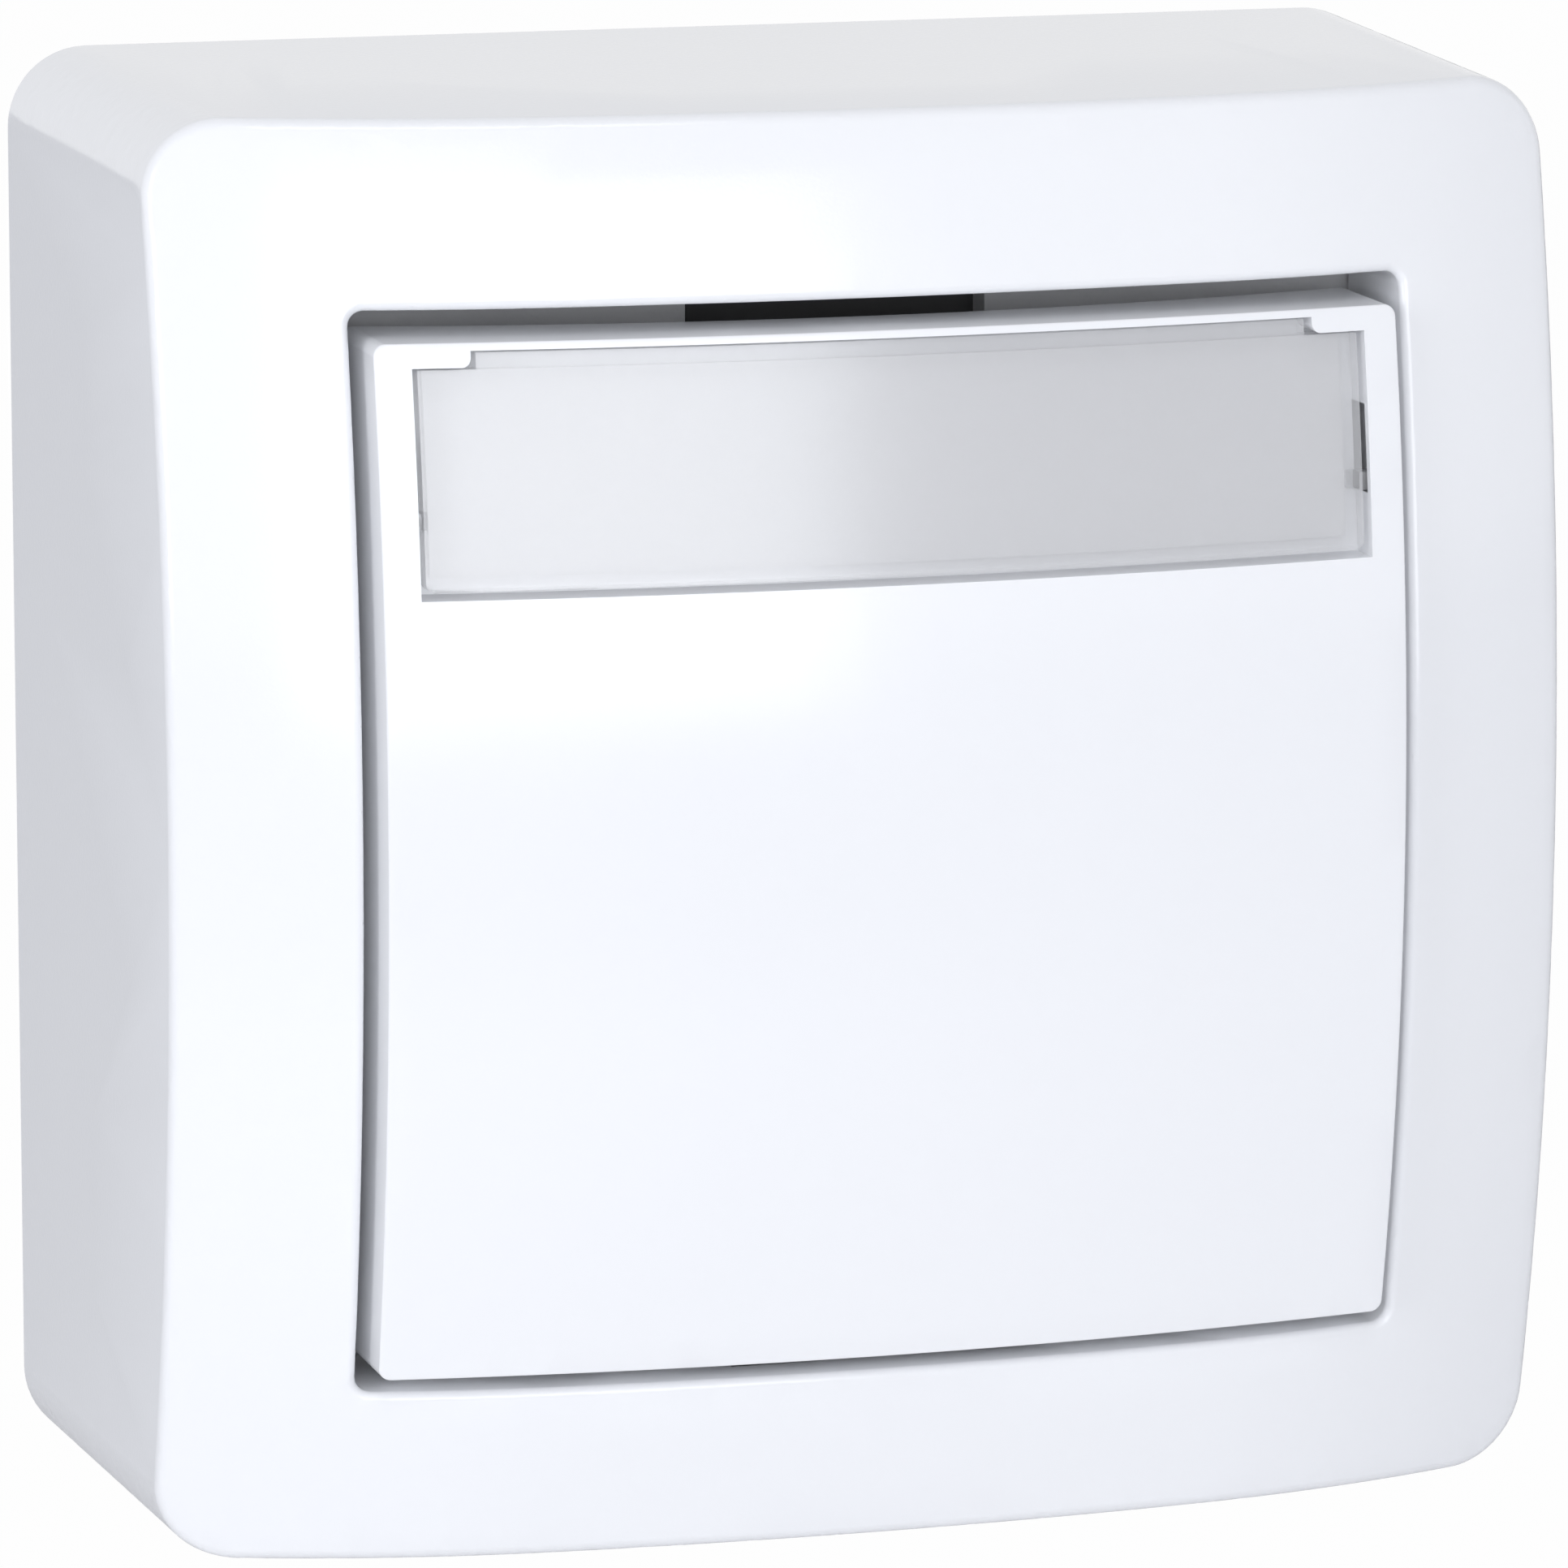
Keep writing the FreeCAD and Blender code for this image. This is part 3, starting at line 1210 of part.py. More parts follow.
# Every feature has to be sound before anything is written.
NODES = [
    "surround_cover", "base_plate", "support_frame", "mechanism_housing", "mechanism_cover",
    "key_carrier", "push_key", "label_window", "label_card", "plunger", "contact_lever",
    "moving_contact_rivet", "break_contact_strip", "break_contact_rivet", "make_contact_strip",
    "make_contact_rivet", "common_terminal", "terminal_clamp_break", "terminal_clamp_common",
    "terminal_clamp_make", "terminal_screw_break", "terminal_screw_common", "terminal_screw_make",
    "frame_screws", "housing_screws", "return_spring_left", "return_spring_right", "contact_spring",
]
doc.recompute()
for item in doc.Objects:
    if "Invalid" in item.State or "Error" in item.State:
        raise RuntimeError(f"{item.Name} failed: {item.State}")
nodes = [doc.getObjectsByLabel(name)[0] for name in NODES]
for node in nodes:
    if node.Shape.isNull() or not node.Shape.isValid():
        raise RuntimeError(f"{node.Label} has no sound shape")
os.makedirs("parts", exist_ok=True)
for node in nodes:
    node.Shape.exportStep(f"parts/{node.Label}.step")
    print(f"{node.Label}: {len(node.Shape.Solids)} solid, {node.Shape.Volume:.1f} mm3")
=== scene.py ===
import json
import math

import bpy
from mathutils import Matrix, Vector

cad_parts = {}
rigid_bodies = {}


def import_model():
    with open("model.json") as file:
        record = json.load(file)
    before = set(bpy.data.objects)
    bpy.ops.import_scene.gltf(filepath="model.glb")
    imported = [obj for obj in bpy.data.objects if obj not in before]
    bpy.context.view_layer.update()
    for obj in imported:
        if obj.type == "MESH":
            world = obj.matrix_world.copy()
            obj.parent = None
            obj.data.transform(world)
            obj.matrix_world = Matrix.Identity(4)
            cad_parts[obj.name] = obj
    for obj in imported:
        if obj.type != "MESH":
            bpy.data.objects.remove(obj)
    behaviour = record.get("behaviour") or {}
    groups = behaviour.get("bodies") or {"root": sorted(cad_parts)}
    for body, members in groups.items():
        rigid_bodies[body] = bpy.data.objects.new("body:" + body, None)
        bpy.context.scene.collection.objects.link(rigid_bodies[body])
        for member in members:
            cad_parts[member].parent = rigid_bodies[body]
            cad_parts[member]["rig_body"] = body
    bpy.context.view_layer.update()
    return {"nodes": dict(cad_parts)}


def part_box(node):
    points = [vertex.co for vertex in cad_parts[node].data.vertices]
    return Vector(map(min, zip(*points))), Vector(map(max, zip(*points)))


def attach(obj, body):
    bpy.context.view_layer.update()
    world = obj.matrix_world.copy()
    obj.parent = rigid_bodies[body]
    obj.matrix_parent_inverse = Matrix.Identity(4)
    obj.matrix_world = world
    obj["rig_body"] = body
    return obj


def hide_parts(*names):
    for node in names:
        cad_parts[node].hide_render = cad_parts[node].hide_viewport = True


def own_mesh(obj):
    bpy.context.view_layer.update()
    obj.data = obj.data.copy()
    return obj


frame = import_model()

# A surface-mounted pushbutton switch with a label field, dressed for its photograph. Lengths are in
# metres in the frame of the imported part: the wall is the plane y = 0, the front faces -Y and Z is up.
bpy.ops.object.select_all(action="DESELECT")


# The camera stands to the left of the switch and a little above it, far back with a long lens. Its
# frame is shifted, so that the switch lies a little left of the middle and above it.
camera_azimuth = math.radians(-15.94)
camera_elevation = math.radians(10.37)
camera_distance = 0.52883
camera_lens = 219.0
sensor_width = 36.0
frame_shift = (0.05075, -0.04195)


def seen_from(azimuth, elevation, distance):
    """The point at that distance from the origin, to the right of -Y by azimuth and above it."""
    level = distance * math.cos(elevation)
    return (level * math.sin(azimuth), -level * math.cos(azimuth), distance * math.sin(elevation))


def facing_origin(azimuth, elevation):
    """The turn of a camera or lamp at seen_from(azimuth, elevation) that points it at the origin."""
    return (math.pi / 2 - elevation, 0.0, azimuth)


bpy.ops.object.camera_add(
    location=seen_from(camera_azimuth, camera_elevation, camera_distance),
    rotation=facing_origin(camera_azimuth, camera_elevation),
)
camera = bpy.context.object
camera.data.sensor_width = sensor_width
camera.data.lens = camera_lens
camera.data.shift_x, camera.data.shift_y = frame_shift
bpy.context.scene.camera = camera
bpy.context.scene.view_settings.view_transform = "Standard"


# The studio: a white room, a wide front panel that the label's cover mirrors as far as the panel's
# right edge, softboxes to the left, above and overhead, and a pale floor well below the switch.
room_light = 0.50
room_tint = (0.955, 0.963, 1.0, 1.0)
lamp_tint = (0.936, 0.959, 1.0)
white = (1.0, 1.0, 1.0, 1.0)
floor_level = -0.30
floor_width = 24.0
floor_colour = (0.88, 0.88, 0.89, 1.0)
floor_glow = 0.98


class Wire:
    """A node's output. Arithmetic on it adds Math nodes, and add brings in any other node."""

    def __init__(self, tree, socket):
        self.tree = tree
        self.socket = socket

    @staticmethod
    def add(tree, kind, settings=None, inputs=None, output=0):
        made = tree.nodes.new(kind)
        for name, value in (settings or {}).items():
            setattr(made, name, value)
        for name, value in (inputs or {}).items():
            if isinstance(value, Wire):
                tree.links.new(value.socket, made.inputs[name])
            else:
                made.inputs[name].default_value = value
        return Wire(tree, made.outputs[output]) if made.outputs else None

    def math(self, operation, first, second):
        return Wire.add(self.tree, "ShaderNodeMath", {"operation": operation}, {0: first, 1: second})

    def __add__(self, other):
        return self.math("ADD", self, other)

    def __sub__(self, other):
        return self.math("SUBTRACT", self, other)

    def __mul__(self, other):
        return self.math("MULTIPLY", self, other)

    def __rsub__(self, other):
        return self.math("SUBTRACT", other, self)

    def __pow__(self, other):
        return self.math("POWER", self, other)

    def __gt__(self, other):
        return self.math("GREATER_THAN", self, other)

    def __or__(self, other):
        return self.math("MAXIMUM", self, other)

    __radd__ = __add__
    __rmul__ = __mul__


def softbox(name, azimuth, elevation, distance, width, height, brightness):
    """A rectangular lamp that faces the origin, at angles in degrees. Brightness 1 looks white."""
    azimuth, elevation = math.radians(azimuth), math.radians(elevation)
    bpy.ops.object.light_add(
        type="AREA",
        location=seen_from(azimuth, elevation, distance),
        rotation=facing_origin(azimuth, elevation),
    )
    lamp = bpy.context.object
    lamp.name = name
    lamp.data.shape = "RECTANGLE"
    lamp.data.size = width
    lamp.data.size_y = height
    lamp.data.color = lamp_tint
    lamp.data.energy = brightness * math.pi * width * height


world = bpy.data.worlds.new("white_room")
world.use_nodes = True
bpy.context.scene.world = world
room = world.node_tree
room.nodes.clear()
seen_directly = (
    Wire.add(room, "ShaderNodeLightPath", output="Is Camera Ray")
    | Wire.add(room, "ShaderNodeLightPath", output="Is Glossy Ray")
    | Wire.add(room, "ShaderNodeLightPath", output="Is Transmission Ray")
)
glow = Wire.add(room, "ShaderNodeBackground", {}, {"Color": room_tint, "Strength": room_light})
backdrop = Wire.add(room, "ShaderNodeBackground", {}, {"Color": white, "Strength": 1.0})
walls = Wire.add(room, "ShaderNodeMixShader", {}, {0: seen_directly, 1: glow, 2: backdrop})
Wire.add(room, "ShaderNodeOutputWorld", {}, {"Surface": walls})

softbox(
    "front_panel", azimuth=-5.0, elevation=9.0, distance=1.0, width=0.68, height=0.44, brightness=3.44
)
softbox(
    "left_softbox", azimuth=-58.0, elevation=12.0, distance=1.1, width=0.30, height=0.50, brightness=5.7
)
softbox(
    "high_softbox", azimuth=-8.0, elevation=54.0, distance=1.2, width=0.62, height=0.26, brightness=2.8
)
softbox(
    "overhead_softbox", azimuth=180.0, elevation=60.0, distance=1.3, width=0.8, height=0.8, brightness=0.2
)

bpy.ops.mesh.primitive_plane_add(size=floor_width, location=(0.0, 0.0, floor_level))
floor = bpy.context.object
floor.name = "floor"
paint = bpy.data.materials.new("floor_paint")
paint.use_nodes = True
tree = paint.node_tree
tree.nodes.clear()
seen_floor = Wire.add(tree, "ShaderNodeLightPath", output="Is Camera Ray") * floor_glow
lit = Wire.add(tree, "ShaderNodeBsdfDiffuse", {}, {"Color": floor_colour})
bright = Wire.add(tree, "ShaderNodeEmission", {}, {"Color": white, "Strength": 1.0})
surface = Wire.add(tree, "ShaderNodeMixShader", {}, {0: seen_floor, 1: lit, 2: bright})
Wire.add(tree, "ShaderNodeOutputMaterial", {}, {"Surface": surface})
floor.data.materials.append(paint)


# Wall plate: a shallow tray of off-white polycarbonate, moulded in a tool with a fine spark-eroded
# texture. It screws to the wall, and its four posts carry the support frame. Its back is cored out
# between ribs, and shows the marks of the ejector pins.
off_white = (0.72, 0.73, 0.74, 1.0)
broken_edge = 0.00012
merge_gap = 0.000002
flat_angle = math.radians(0.02)


def new_finish(name):
    """An empty material and its node tree."""
    material = bpy.data.materials.new(name)
    material.use_nodes = True
    material.node_tree.nodes.clear()
    return material, material.node_tree


def tinted(colour, share):
    """A colour made lighter or darker by a share of itself."""
    return tuple(channel * (1 + share) for channel in colour[:3]) + (1.0,)


def moulded_plastic(name, colour, roughness, grain=0.00025, grain_depth=0.000004, mottle=0.02):
    """Moulded plastic: faint clouds of pigment, a tool texture with its grain's width and depth, and a
    slightly uneven gloss."""
    cloud_scale = 60.0
    cloud_gloss = 0.08
    grain_gloss = 0.04
    material, tree = new_finish(name)
    place = Wire.add(tree, "ShaderNodeTexCoord", output="Object")
    clouds = Wire.add(
        tree, "ShaderNodeTexNoise", {}, {"Vector": place, "Scale": cloud_scale, "Detail": 4.0}
    )
    texture = Wire.add(
        tree, "ShaderNodeTexNoise", {}, {"Vector": place, "Scale": 1 / grain, "Detail": 2.0}
    )
    pigment = Wire.add(
        tree, "ShaderNodeMix", {"data_type": "RGBA"},
        {0: clouds, 6: tinted(colour, -mottle), 7: tinted(colour, mottle)}, output=2,
    )
    skin = Wire.add(
        tree, "ShaderNodeBump", {}, {"Height": texture, "Distance": grain_depth, "Strength": 1.0}
    )
    gloss = roughness + (clouds - 0.5) * cloud_gloss + (texture - 0.5) * grain_gloss
    shader = Wire.add(
        tree, "ShaderNodeBsdfPrincipled", {},
        {"Base Color": pigment, "Roughness": gloss, "IOR": 1.5, "Normal": skin},
    )
    Wire.add(tree, "ShaderNodeOutputMaterial", {}, {"Surface": shader})
    return material


def dress(name, material):
    """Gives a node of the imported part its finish."""
    node = frame["nodes"][name]
    node.data.materials.clear()
    node.data.materials.append(material)


def moulding(name, material, edge=0.0, slope=30.0, cutter=None):
    """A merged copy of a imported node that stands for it: the cutter's blocks are taken out of it, its
    edges that turn by more than slope degrees are broken by edge, and the rest is shaded smooth, with
    the faces beside a broken edge kept flat."""
    node = frame["nodes"][name]
    piece = bpy.data.objects.new(name + "_moulding", node.data.copy())
    bpy.context.collection.objects.link(piece)
    bpy.ops.object.select_all(action="DESELECT")
    piece.select_set(True)
    bpy.context.view_layer.objects.active = piece
    bpy.ops.mesh.customdata_custom_splitnormals_clear()
    bpy.ops.object.mode_set(mode="EDIT")
    bpy.ops.mesh.select_all(action="SELECT")
    bpy.ops.mesh.remove_doubles(threshold=merge_gap)
    bpy.ops.mesh.dissolve_limited(angle_limit=flat_angle)
    bpy.ops.object.mode_set(mode="OBJECT")
    if cutter:
        cut = piece.modifiers.new("pockets", "BOOLEAN")
        cut.operation = "DIFFERENCE"
        cut.object = cutter
        bpy.ops.object.modifier_apply(modifier=cut.name)
        bpy.data.objects.remove(cutter)
    if edge:
        bevel = piece.modifiers.new("broken_edges", "BEVEL")
        bevel.width = edge
        bevel.segments = 2
        bevel.limit_method = "ANGLE"
        bevel.angle_limit = math.radians(slope)
        bpy.ops.object.modifier_apply(modifier=bevel.name)
    bpy.ops.object.shade_smooth_by_angle(angle=math.radians(slope))
    if edge:
        flat = piece.modifiers.new("flat_faces", "WEIGHTED_NORMAL")
        flat.keep_sharp = True
        bpy.ops.object.modifier_apply(modifier=flat.name)
    piece.data.materials.clear()
    piece.data.materials.append(material)
    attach(piece, node["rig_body"])
    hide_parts(name)


def back_pocket(left, right, low, high, depth, corner=0.0009):
    """A block with round corners that cuts a shallow pocket into the back of the wall plate."""
    bpy.ops.mesh.primitive_cube_add(size=1.0, location=((left + right) / 2, 0.0, (low + high) / 2))
    block = bpy.context.object
    block.scale = (right - left, 2 * depth, high - low)
    bpy.ops.object.transform_apply(location=True, rotation=False, scale=True)
    corners = block.modifiers.new("corners", "BEVEL")
    corners.width = corner
    corners.segments = 4
    corners.limit_method = "WEIGHT"
    weights = block.data.attributes.new("bevel_weight_edge", "FLOAT", "EDGE")
    for edge in block.data.edges:
        ends = [block.data.vertices[index].co for index in edge.vertices]
        weights.data[edge.index].value = 1.0 if abs(ends[0].y - ends[1].y) > depth else 0.0
    bpy.ops.object.modifier_apply(modifier=corners.name)
    return block


def joined(pieces):
    """One object from several."""
    bpy.ops.object.select_all(action="DESELECT")
    for piece in pieces:
        piece.select_set(True)
    bpy.context.view_layer.objects.active = pieces[0]
    bpy.ops.object.join()
    return bpy.context.object


pocket_depth = 0.0008
pocket_width = 0.0072
pocket_rib = 0.0012
pocket_start = 0.0090            # from the middle of the plate, across and up
pocket_end = 0.0324
below_cable_entry = -0.0235      # the column beside the middle is shorter, because the entry is there
blocks = []
for column in range(3):
    near = pocket_start + column * (pocket_width + pocket_rib)
    far = near + pocket_width
    low_end = -pocket_start if column else below_cable_entry
    for left, right in ((near, far), (-far, -near)):
        blocks.append(back_pocket(left, right, pocket_start, pocket_end, pocket_depth))
        blocks.append(back_pocket(left, right, -pocket_end, low_end, pocket_depth))
pin_radius = 0.0014
pin_mark_depth = 0.00015
pin_places = ((-0.020, 0.0), (0.020, 0.0), (0.0, 0.017), (-0.0055, -0.0265), (0.0055, -0.0265))
for across, up in pin_places:
    bpy.ops.mesh.primitive_cylinder_add(
        vertices=32, radius=pin_radius, depth=2 * pin_mark_depth,
        location=(across, 0.0, up), rotation=(math.pi / 2, 0.0, 0.0),
    )
    bpy.ops.object.transform_apply(location=True, rotation=True, scale=True)
    blocks.append(bpy.context.object)
off_white_polycarbonate = moulded_plastic("off_white_polycarbonate", off_white, 0.42)
moulding("base_plate", off_white_polycarbonate, broken_edge, cutter=joined(blocks))


# Mechanism housing: a black glass-filled box that holds the contacts and the terminals. Its flange
# is screwed to the back of the support frame, and its tab shows through the frame's notch.
glass_filled_black = (0.05, 0.05, 0.052, 1.0)
black_plastic = moulded_plastic(
    "black_glass_filled_plastic", glass_filled_black, 0.5, grain=0.0002, grain_depth=0.000008, mottle=0.15
)
moulding("mechanism_housing", black_plastic, broken_edge)


# Terminal and contact strips: brass sheet, blanked and folded, bright with a fine rolled grain and
# a little tarnish. The clamps round their tails are nickel-plated brass.
brass = (0.80, 0.58, 0.24, 1.0)
nickel = (0.66, 0.63, 0.58, 1.0)


def rolled_metal(name, colour, roughness, stretch, tarnish=0.25):
    """Sheet or drawn metal: rolling lines along one axis, and a tarnish that darkens in patches."""
    line_scale = 900.0
    line_depth = 0.000006
    line_gloss = 0.1
    patch_scale = 240.0
    patch_gloss = 0.2
    material, tree = new_finish(name)
    place = Wire.add(tree, "ShaderNodeTexCoord", output="Object")
    lines_place = Wire.add(tree, "ShaderNodeMapping", {}, {"Vector": place, "Scale": stretch})
    lines = Wire.add(
        tree, "ShaderNodeTexNoise", {}, {"Vector": lines_place, "Scale": line_scale, "Detail": 3.0}
    )
    patches = Wire.add(
        tree, "ShaderNodeTexNoise", {}, {"Vector": place, "Scale": patch_scale, "Detail": 5.0}
    )
    metal = Wire.add(
        tree, "ShaderNodeMix", {"data_type": "RGBA"},
        {0: (patches ** 2) * tarnish * 2.0, 6: colour, 7: tinted(colour, -0.5)}, output=2,
    )
    skin = Wire.add(
        tree, "ShaderNodeBump", {}, {"Height": lines, "Distance": line_depth, "Strength": 0.6}
    )
    gloss = roughness + (patches - 0.5) * patch_gloss + (lines - 0.5) * line_gloss
    shader = Wire.add(
        tree, "ShaderNodeBsdfPrincipled", {},
        {"Base Color": metal, "Metallic": 1.0, "Roughness": gloss, "Normal": skin},
    )
    Wire.add(tree, "ShaderNodeOutputMaterial", {}, {"Surface": shader})
    return material


along_z = (1.0, 1.0, 0.08)
along_x = (0.08, 1.0, 1.0)
along_y = (1.0, 0.08, 1.0)
brass_sheet = rolled_metal("rolled_brass", brass, 0.28, along_z)
for name in ("break_contact_strip", "make_contact_strip", "common_terminal"):
    dress(name, brass_sheet)
nickel_brass = rolled_metal("nickel_plated_brass", nickel, 0.26, along_z, tarnish=0.1)
for name in ("terminal_clamp_break", "terminal_clamp_common", "terminal_clamp_make"):
    dress(name, nickel_brass)


# Terminal screws and contact rivets: turned steel with a zinc plate and a rolled thread, and headed
# silver, which the strips and the lever hold by its shank.
zinc = (0.62, 0.63, 0.65, 1.0)
silver = (0.86, 0.85, 0.82, 1.0)
zinc_plate = rolled_metal("zinc_plated_steel", zinc, 0.30, along_y, tarnish=0.15)
terminal_pitch = 0.012
terminal_height = -0.017
terminal_head = 0.0014           # the height of a terminal screw's head


def wound_wire(name, centre, radius, depths, per_turn, wire):
    """Round wire wound about a front-to-back axis, with one depth for each step of a turn."""
    bpy.ops.curve.primitive_nurbs_path_add()
    winding = bpy.context.object
    winding.name = name
    line = winding.data.splines[0]
    line.points.add(len(depths) - len(line.points))
    for index, depth in enumerate(depths):
        angle = 2 * math.pi * index / per_turn
        line.points[index].co = (
            centre[0] + radius * math.cos(angle), depth, centre[1] + radius * math.sin(angle), 1.0
        )
    line.use_endpoint_u = True
    winding.data.bevel_depth = wire / 2
    winding.data.bevel_resolution = 3
    winding.data.resolution_u = 2
    winding.data.use_fill_caps = True
    bpy.ops.object.convert(target="MESH")
    bpy.ops.object.shade_smooth_by_angle(angle=math.radians(50))
    return bpy.context.object


def threads(name, centres, core, back, front, pitch, ridge):
    """The raised threads of like screws, each wound round its shank from its tip to under its head."""
    per_turn = 12
    steps = int((front - back) / pitch * per_turn)
    depths = [-back - pitch * step / per_turn for step in range(steps + 1)]
    wound = [wound_wire(name, centre, core, depths, per_turn, ridge) for centre in centres]
    piece = joined(wound)
    piece.data.materials.clear()
    piece.data.materials.append(zinc_plate)
    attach(piece, "housing")


for name in ("terminal_screw_break", "terminal_screw_common", "terminal_screw_make"):
    dress(name, zinc_plate)
low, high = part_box("terminal_screw_common")
terminal_centres = [(across, terminal_height) for across in (-terminal_pitch, 0.0, terminal_pitch)]
threads(
    "terminal_screw_threads", terminal_centres, core=0.0013, back=-high.y + 0.0002,
    front=-low.y - terminal_head, pitch=0.0005, ridge=0.00018,
)
silver_tip = rolled_metal("contact_silver", silver, 0.22, along_y, tarnish=0.3)
for name in ("break_contact_rivet", "make_contact_rivet", "moving_contact_rivet"):
    dress(name, silver_tip)


# Contact lever: a strip of spring bronze with a rolled eye. The plunger pushes it back, from the break
# contact to the make contact.
bronze = (0.66, 0.42, 0.22, 1.0)
spring_bronze = rolled_metal("spring_bronze", bronze, 0.3, along_z)
dress("contact_lever", spring_bronze)


# Coil springs: hard-drawn spring steel wire, with a closed and ground turn at each end. The two
# return springs push the carrier and its key back out, and the contact spring pushes the lever.
steel = (0.55, 0.55, 0.56, 1.0)
spring_steel = rolled_metal("spring_steel", steel, 0.25, along_x, tarnish=0.2)


def coil_spring(name, wire, turns):
    """Wire wound on a front-to-back axis, with a closed turn at each end, in place of a node."""
    low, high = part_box(name)
    across, up = (low.x + high.x) / 2, (low.z + high.z) / 2
    radius = (high.x - low.x - wire) / 2
    back, front = high.y - wire / 2, low.y + wire / 2
    per_turn = 16
    closed = 0.75                # turns that lie close at each end
    rise = (back - front - 2 * closed * wire) / turns
    depths = []
    for step in range(int((turns + 2 * closed) * per_turn) + 1):
        turn = step / per_turn
        middle = min(max(turn - closed, 0.0), turns)
        ends = min(turn, closed) + max(turn - closed - turns, 0.0)
        depths.append(back - middle * rise - ends * wire)
    spring = wound_wire(name + "_wound", (across, up), radius, depths, per_turn, wire)
    spring.data.materials.clear()
    spring.data.materials.append(spring_steel)
    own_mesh(spring)
    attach(spring, "housing")
    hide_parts(name)


return_wire, return_turns = 0.0005, 5
for name in ("return_spring_left", "return_spring_right"):
    coil_spring(name, return_wire, return_turns)
contact_wire, contact_turns = 0.00035, 6
coil_spring("contact_spring", contact_wire, contact_turns)


# Plunger and key carrier: natural acetal, slightly waxy and yellowish, moulded without texture. The
# plunger slides in the mechanism cover, and the carrier swings on two trunnions in the lugs of the
# support frame.
acetal = (0.76, 0.755, 0.72, 1.0)
natural_acetal = moulded_plastic(
    "natural_acetal", acetal, 0.38, grain=0.0004, grain_depth=0.000002, mottle=0.015
)
dress("plunger", natural_acetal)
moulding("key_carrier", natural_acetal, broken_edge)


# Mechanism cover: the black lid that closes the housing, moulded from the same plastic. It guides the
# plunger, seats the return springs, and hooks the key carrier.
moulding("mechanism_cover", black_plastic, broken_edge)


# Support frame: a plate of pale grey polycarbonate with a coarse spark-eroded texture, whose top edge
# shows above the key.
pale_grey = (0.70, 0.70, 0.71, 1.0)
frame_edge = 0.00015
grey_polycarbonate = moulded_plastic(
    "grey_polycarbonate", pale_grey, 0.5, grain=0.0003, grain_depth=0.00004, mottle=0.06
)
moulding("support_frame", grey_polycarbonate, frame_edge)


# Screws: self-tapping, zinc-plated, with a pan head, a cross recess and a coarse thread that cuts
# its own way into the posts of the wall plate and the bosses of the housing.
frame_head_radius = 0.0027
housing_head_radius = 0.002
plain_tip = 0.0004               # the length of each shank that has no thread, at its tip
frame_thread_front = 0.0227      # where the threads end, from the wall: behind what the screws hold
housing_thread_front = 0.0232
dress("frame_screws", zinc_plate)
dress("housing_screws", zinc_plate)
low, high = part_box("frame_screws")
frame_across, frame_up = high.x - frame_head_radius, high.z - frame_head_radius
frame_centres = [(frame_across * side, frame_up * up) for side in (-1, 1) for up in (-1, 1)]
threads(
    "frame_screw_threads", frame_centres, core=0.00145, back=-high.y + plain_tip,
    front=frame_thread_front, pitch=0.0013, ridge=0.00028,
)
low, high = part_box("housing_screws")
housing_centres = [((high.x - housing_head_radius) * side, (low.z + high.z) / 2) for side in (-1, 1)]
threads(
    "housing_screw_threads", housing_centres, core=0.001, back=-high.y + plain_tip,
    front=housing_thread_front, pitch=0.0009, ridge=0.00022,
)


# Surround cover and key: the same cool white styrene plastic. The casing has a very fine texture,
# and the key comes from a polished tool with a silky gloss.
cool_white = (0.905, 0.912, 0.932, 1.0)
fine_white = moulded_plastic(
    "fine_textured_white_plastic", cool_white, 0.14, grain=0.00022, grain_depth=0.000004, mottle=0.004
)
silky_white = moulded_plastic(
    "silky_white_plastic", cool_white, 0.15, grain=0.0003, grain_depth=0.0000015, mottle=0.004
)
moulding("surround_cover", fine_white)
moulding("push_key", silky_white)


# Label field: a blank card behind a cover of clear styrene, slightly milky in its body, with polished
# faces. The cover snaps into the key's recess by a nib in each side wall.
card_grey = (0.765, 0.765, 0.775, 1.0)
clear_tint = (0.745, 0.745, 0.76, 1.0)
# The right nib's grey is painted shade, standing for the shade it lies in within its slot; the left nib is
# left clear.
nib_painted_shade = (0.38, 0.38, 0.385, 1.0)
nib_start = 0.02531              # just past the cover's right side wall
cover_milk = 0.35
nib_shade_alpha = 0.90
cover_slope = 40.0
fibre_scale = 2500.0
fibre_depth = 0.00001
ripple_scale = 90.0
ripple_depth = 0.000004


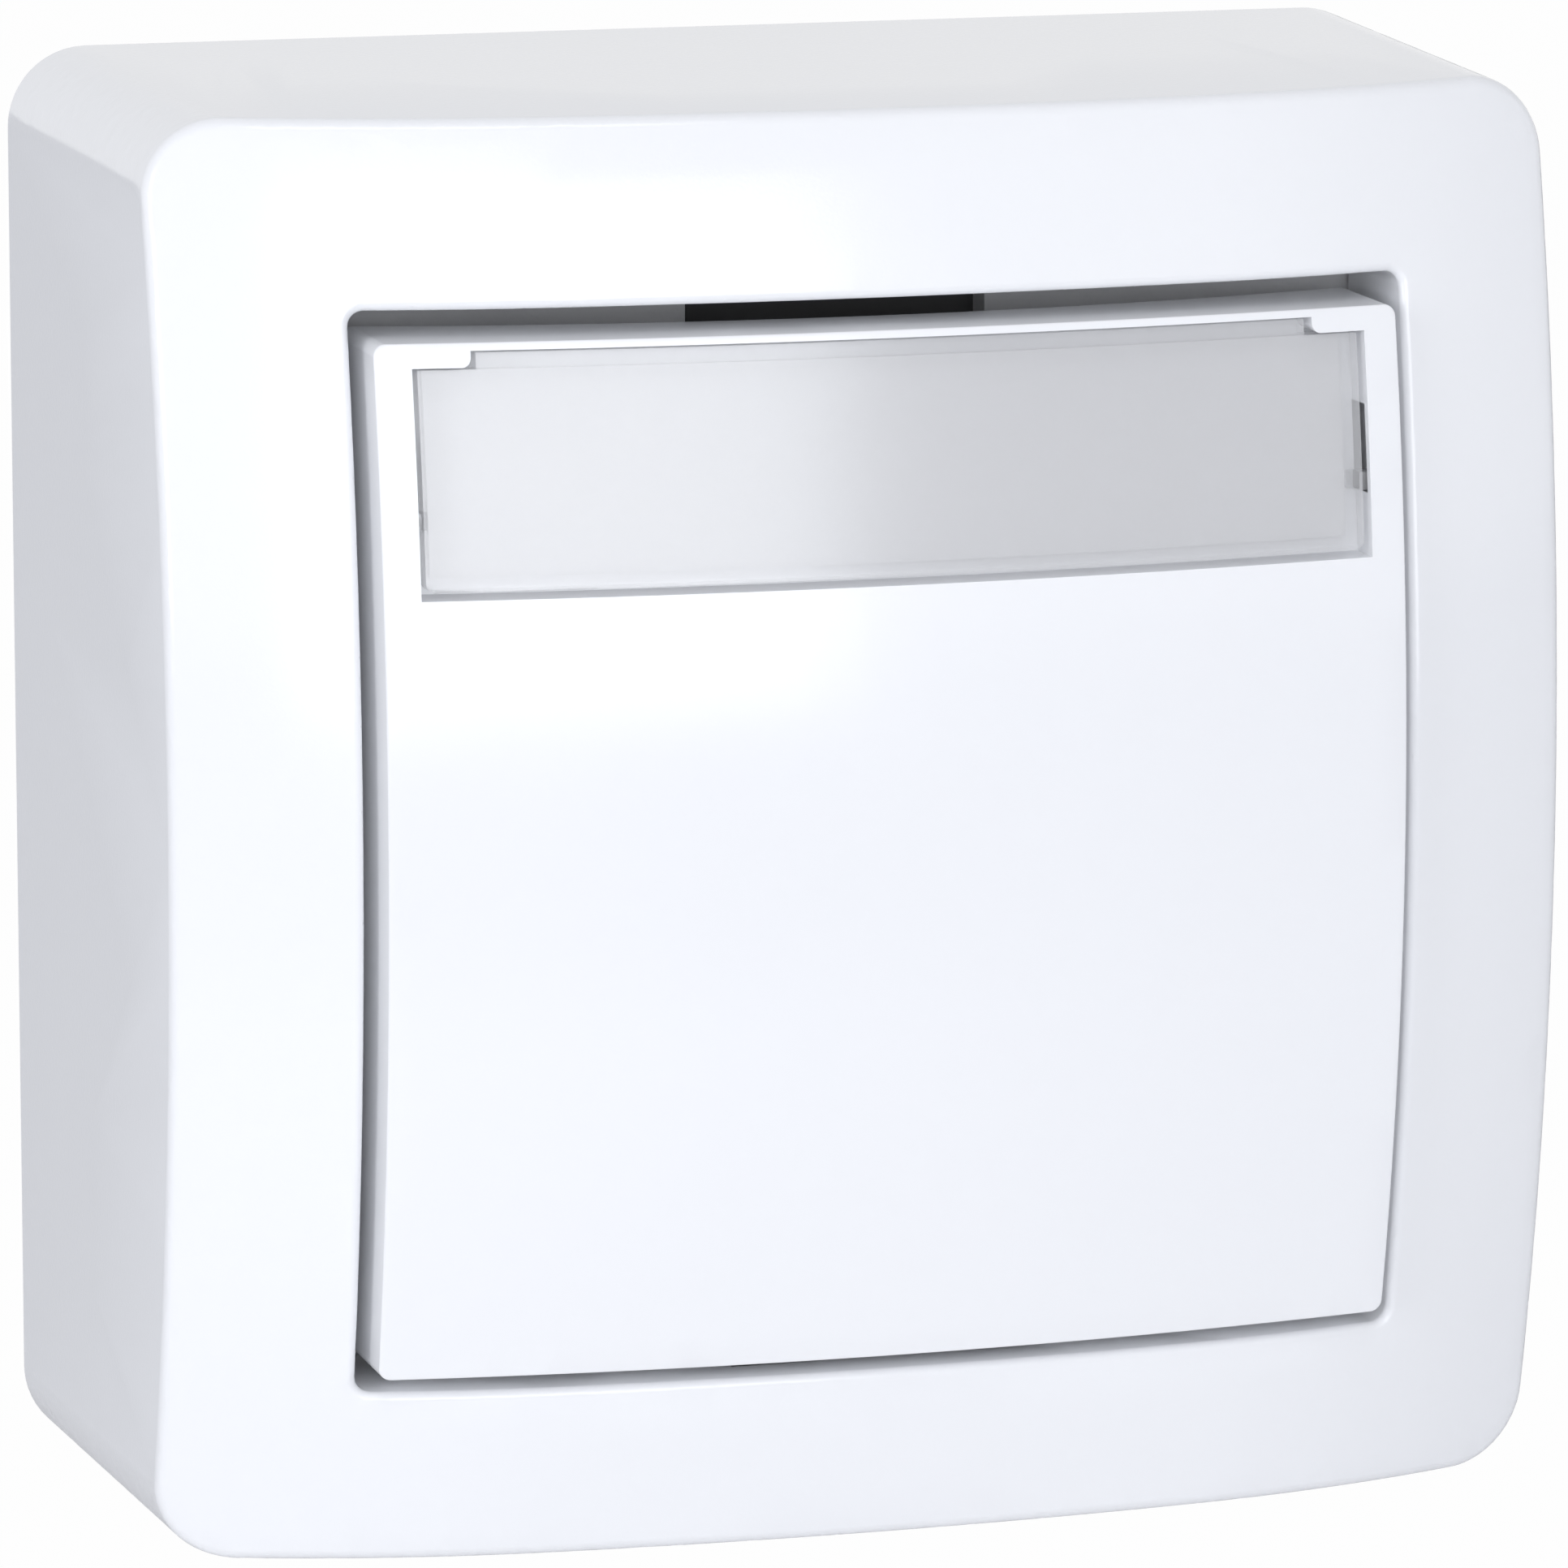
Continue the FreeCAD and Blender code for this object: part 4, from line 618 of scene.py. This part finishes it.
def label_card(name):
    """Smooth uncoated card with a faint fibre."""
    material, tree = new_finish(name)
    place = Wire.add(tree, "ShaderNodeTexCoord", output="Object")
    fibre = Wire.add(tree, "ShaderNodeTexNoise", {}, {"Vector": place, "Scale": fibre_scale, "Detail": 4.0})
    pulp = Wire.add(
        tree, "ShaderNodeMix", {"data_type": "RGBA"},
        {0: fibre, 6: tinted(card_grey, -0.01), 7: tinted(card_grey, 0.01)}, output=2,
    )
    skin = Wire.add(tree, "ShaderNodeBump", {}, {"Height": fibre, "Distance": fibre_depth, "Strength": 0.5})
    shader = Wire.add(
        tree, "ShaderNodeBsdfPrincipled", {}, {"Base Color": pulp, "Roughness": 0.6, "Normal": skin}
    )
    Wire.add(tree, "ShaderNodeOutputMaterial", {}, {"Surface": shader})
    return material


def clear_cover(name):
    """Clear polished plastic that mirrors the room over what lies behind it, with a painted shade over its
    right nib: grey there and nearly opaque.
    """
    material, tree = new_finish(name)
    place = Wire.add(tree, "ShaderNodeTexCoord", output="Object")
    ripple = Wire.add(tree, "ShaderNodeTexNoise", {}, {"Vector": place, "Scale": ripple_scale, "Detail": 2.0})
    skin = Wire.add(tree, "ShaderNodeBump", {}, {"Height": ripple, "Distance": ripple_depth, "Strength": 0.3})
    across = Wire.add(tree, "ShaderNodeSeparateXYZ", {}, {"Vector": place}, output="X")
    # Painted shade: past nib_start, over the right nib, the cover is painted grey and made nearly opaque.
    in_shaded_nib = across > nib_start
    tint = Wire.add(
        tree, "ShaderNodeMix", {"data_type": "RGBA"}, {0: in_shaded_nib, 6: clear_tint, 7: nib_painted_shade}, output=2,
    )
    shader = Wire.add(
        tree, "ShaderNodeBsdfPrincipled", {},
        {
            "Base Color": tint, "Roughness": 0.19 + ripple * 0.04, "IOR": 1.6,
            "Alpha": cover_milk + in_shaded_nib * (nib_shade_alpha - cover_milk), "Coat Weight": 1.0 - in_shaded_nib,
            "Coat Roughness": 0.16, "Coat IOR": 1.89, "Normal": skin,
        },
    )
    Wire.add(tree, "ShaderNodeOutputMaterial", {}, {"Surface": shader})
    return material


dress("label_card", label_card("blank_card"))
moulding("label_window", clear_cover("clear_styrene"), broken_edge, cover_slope)
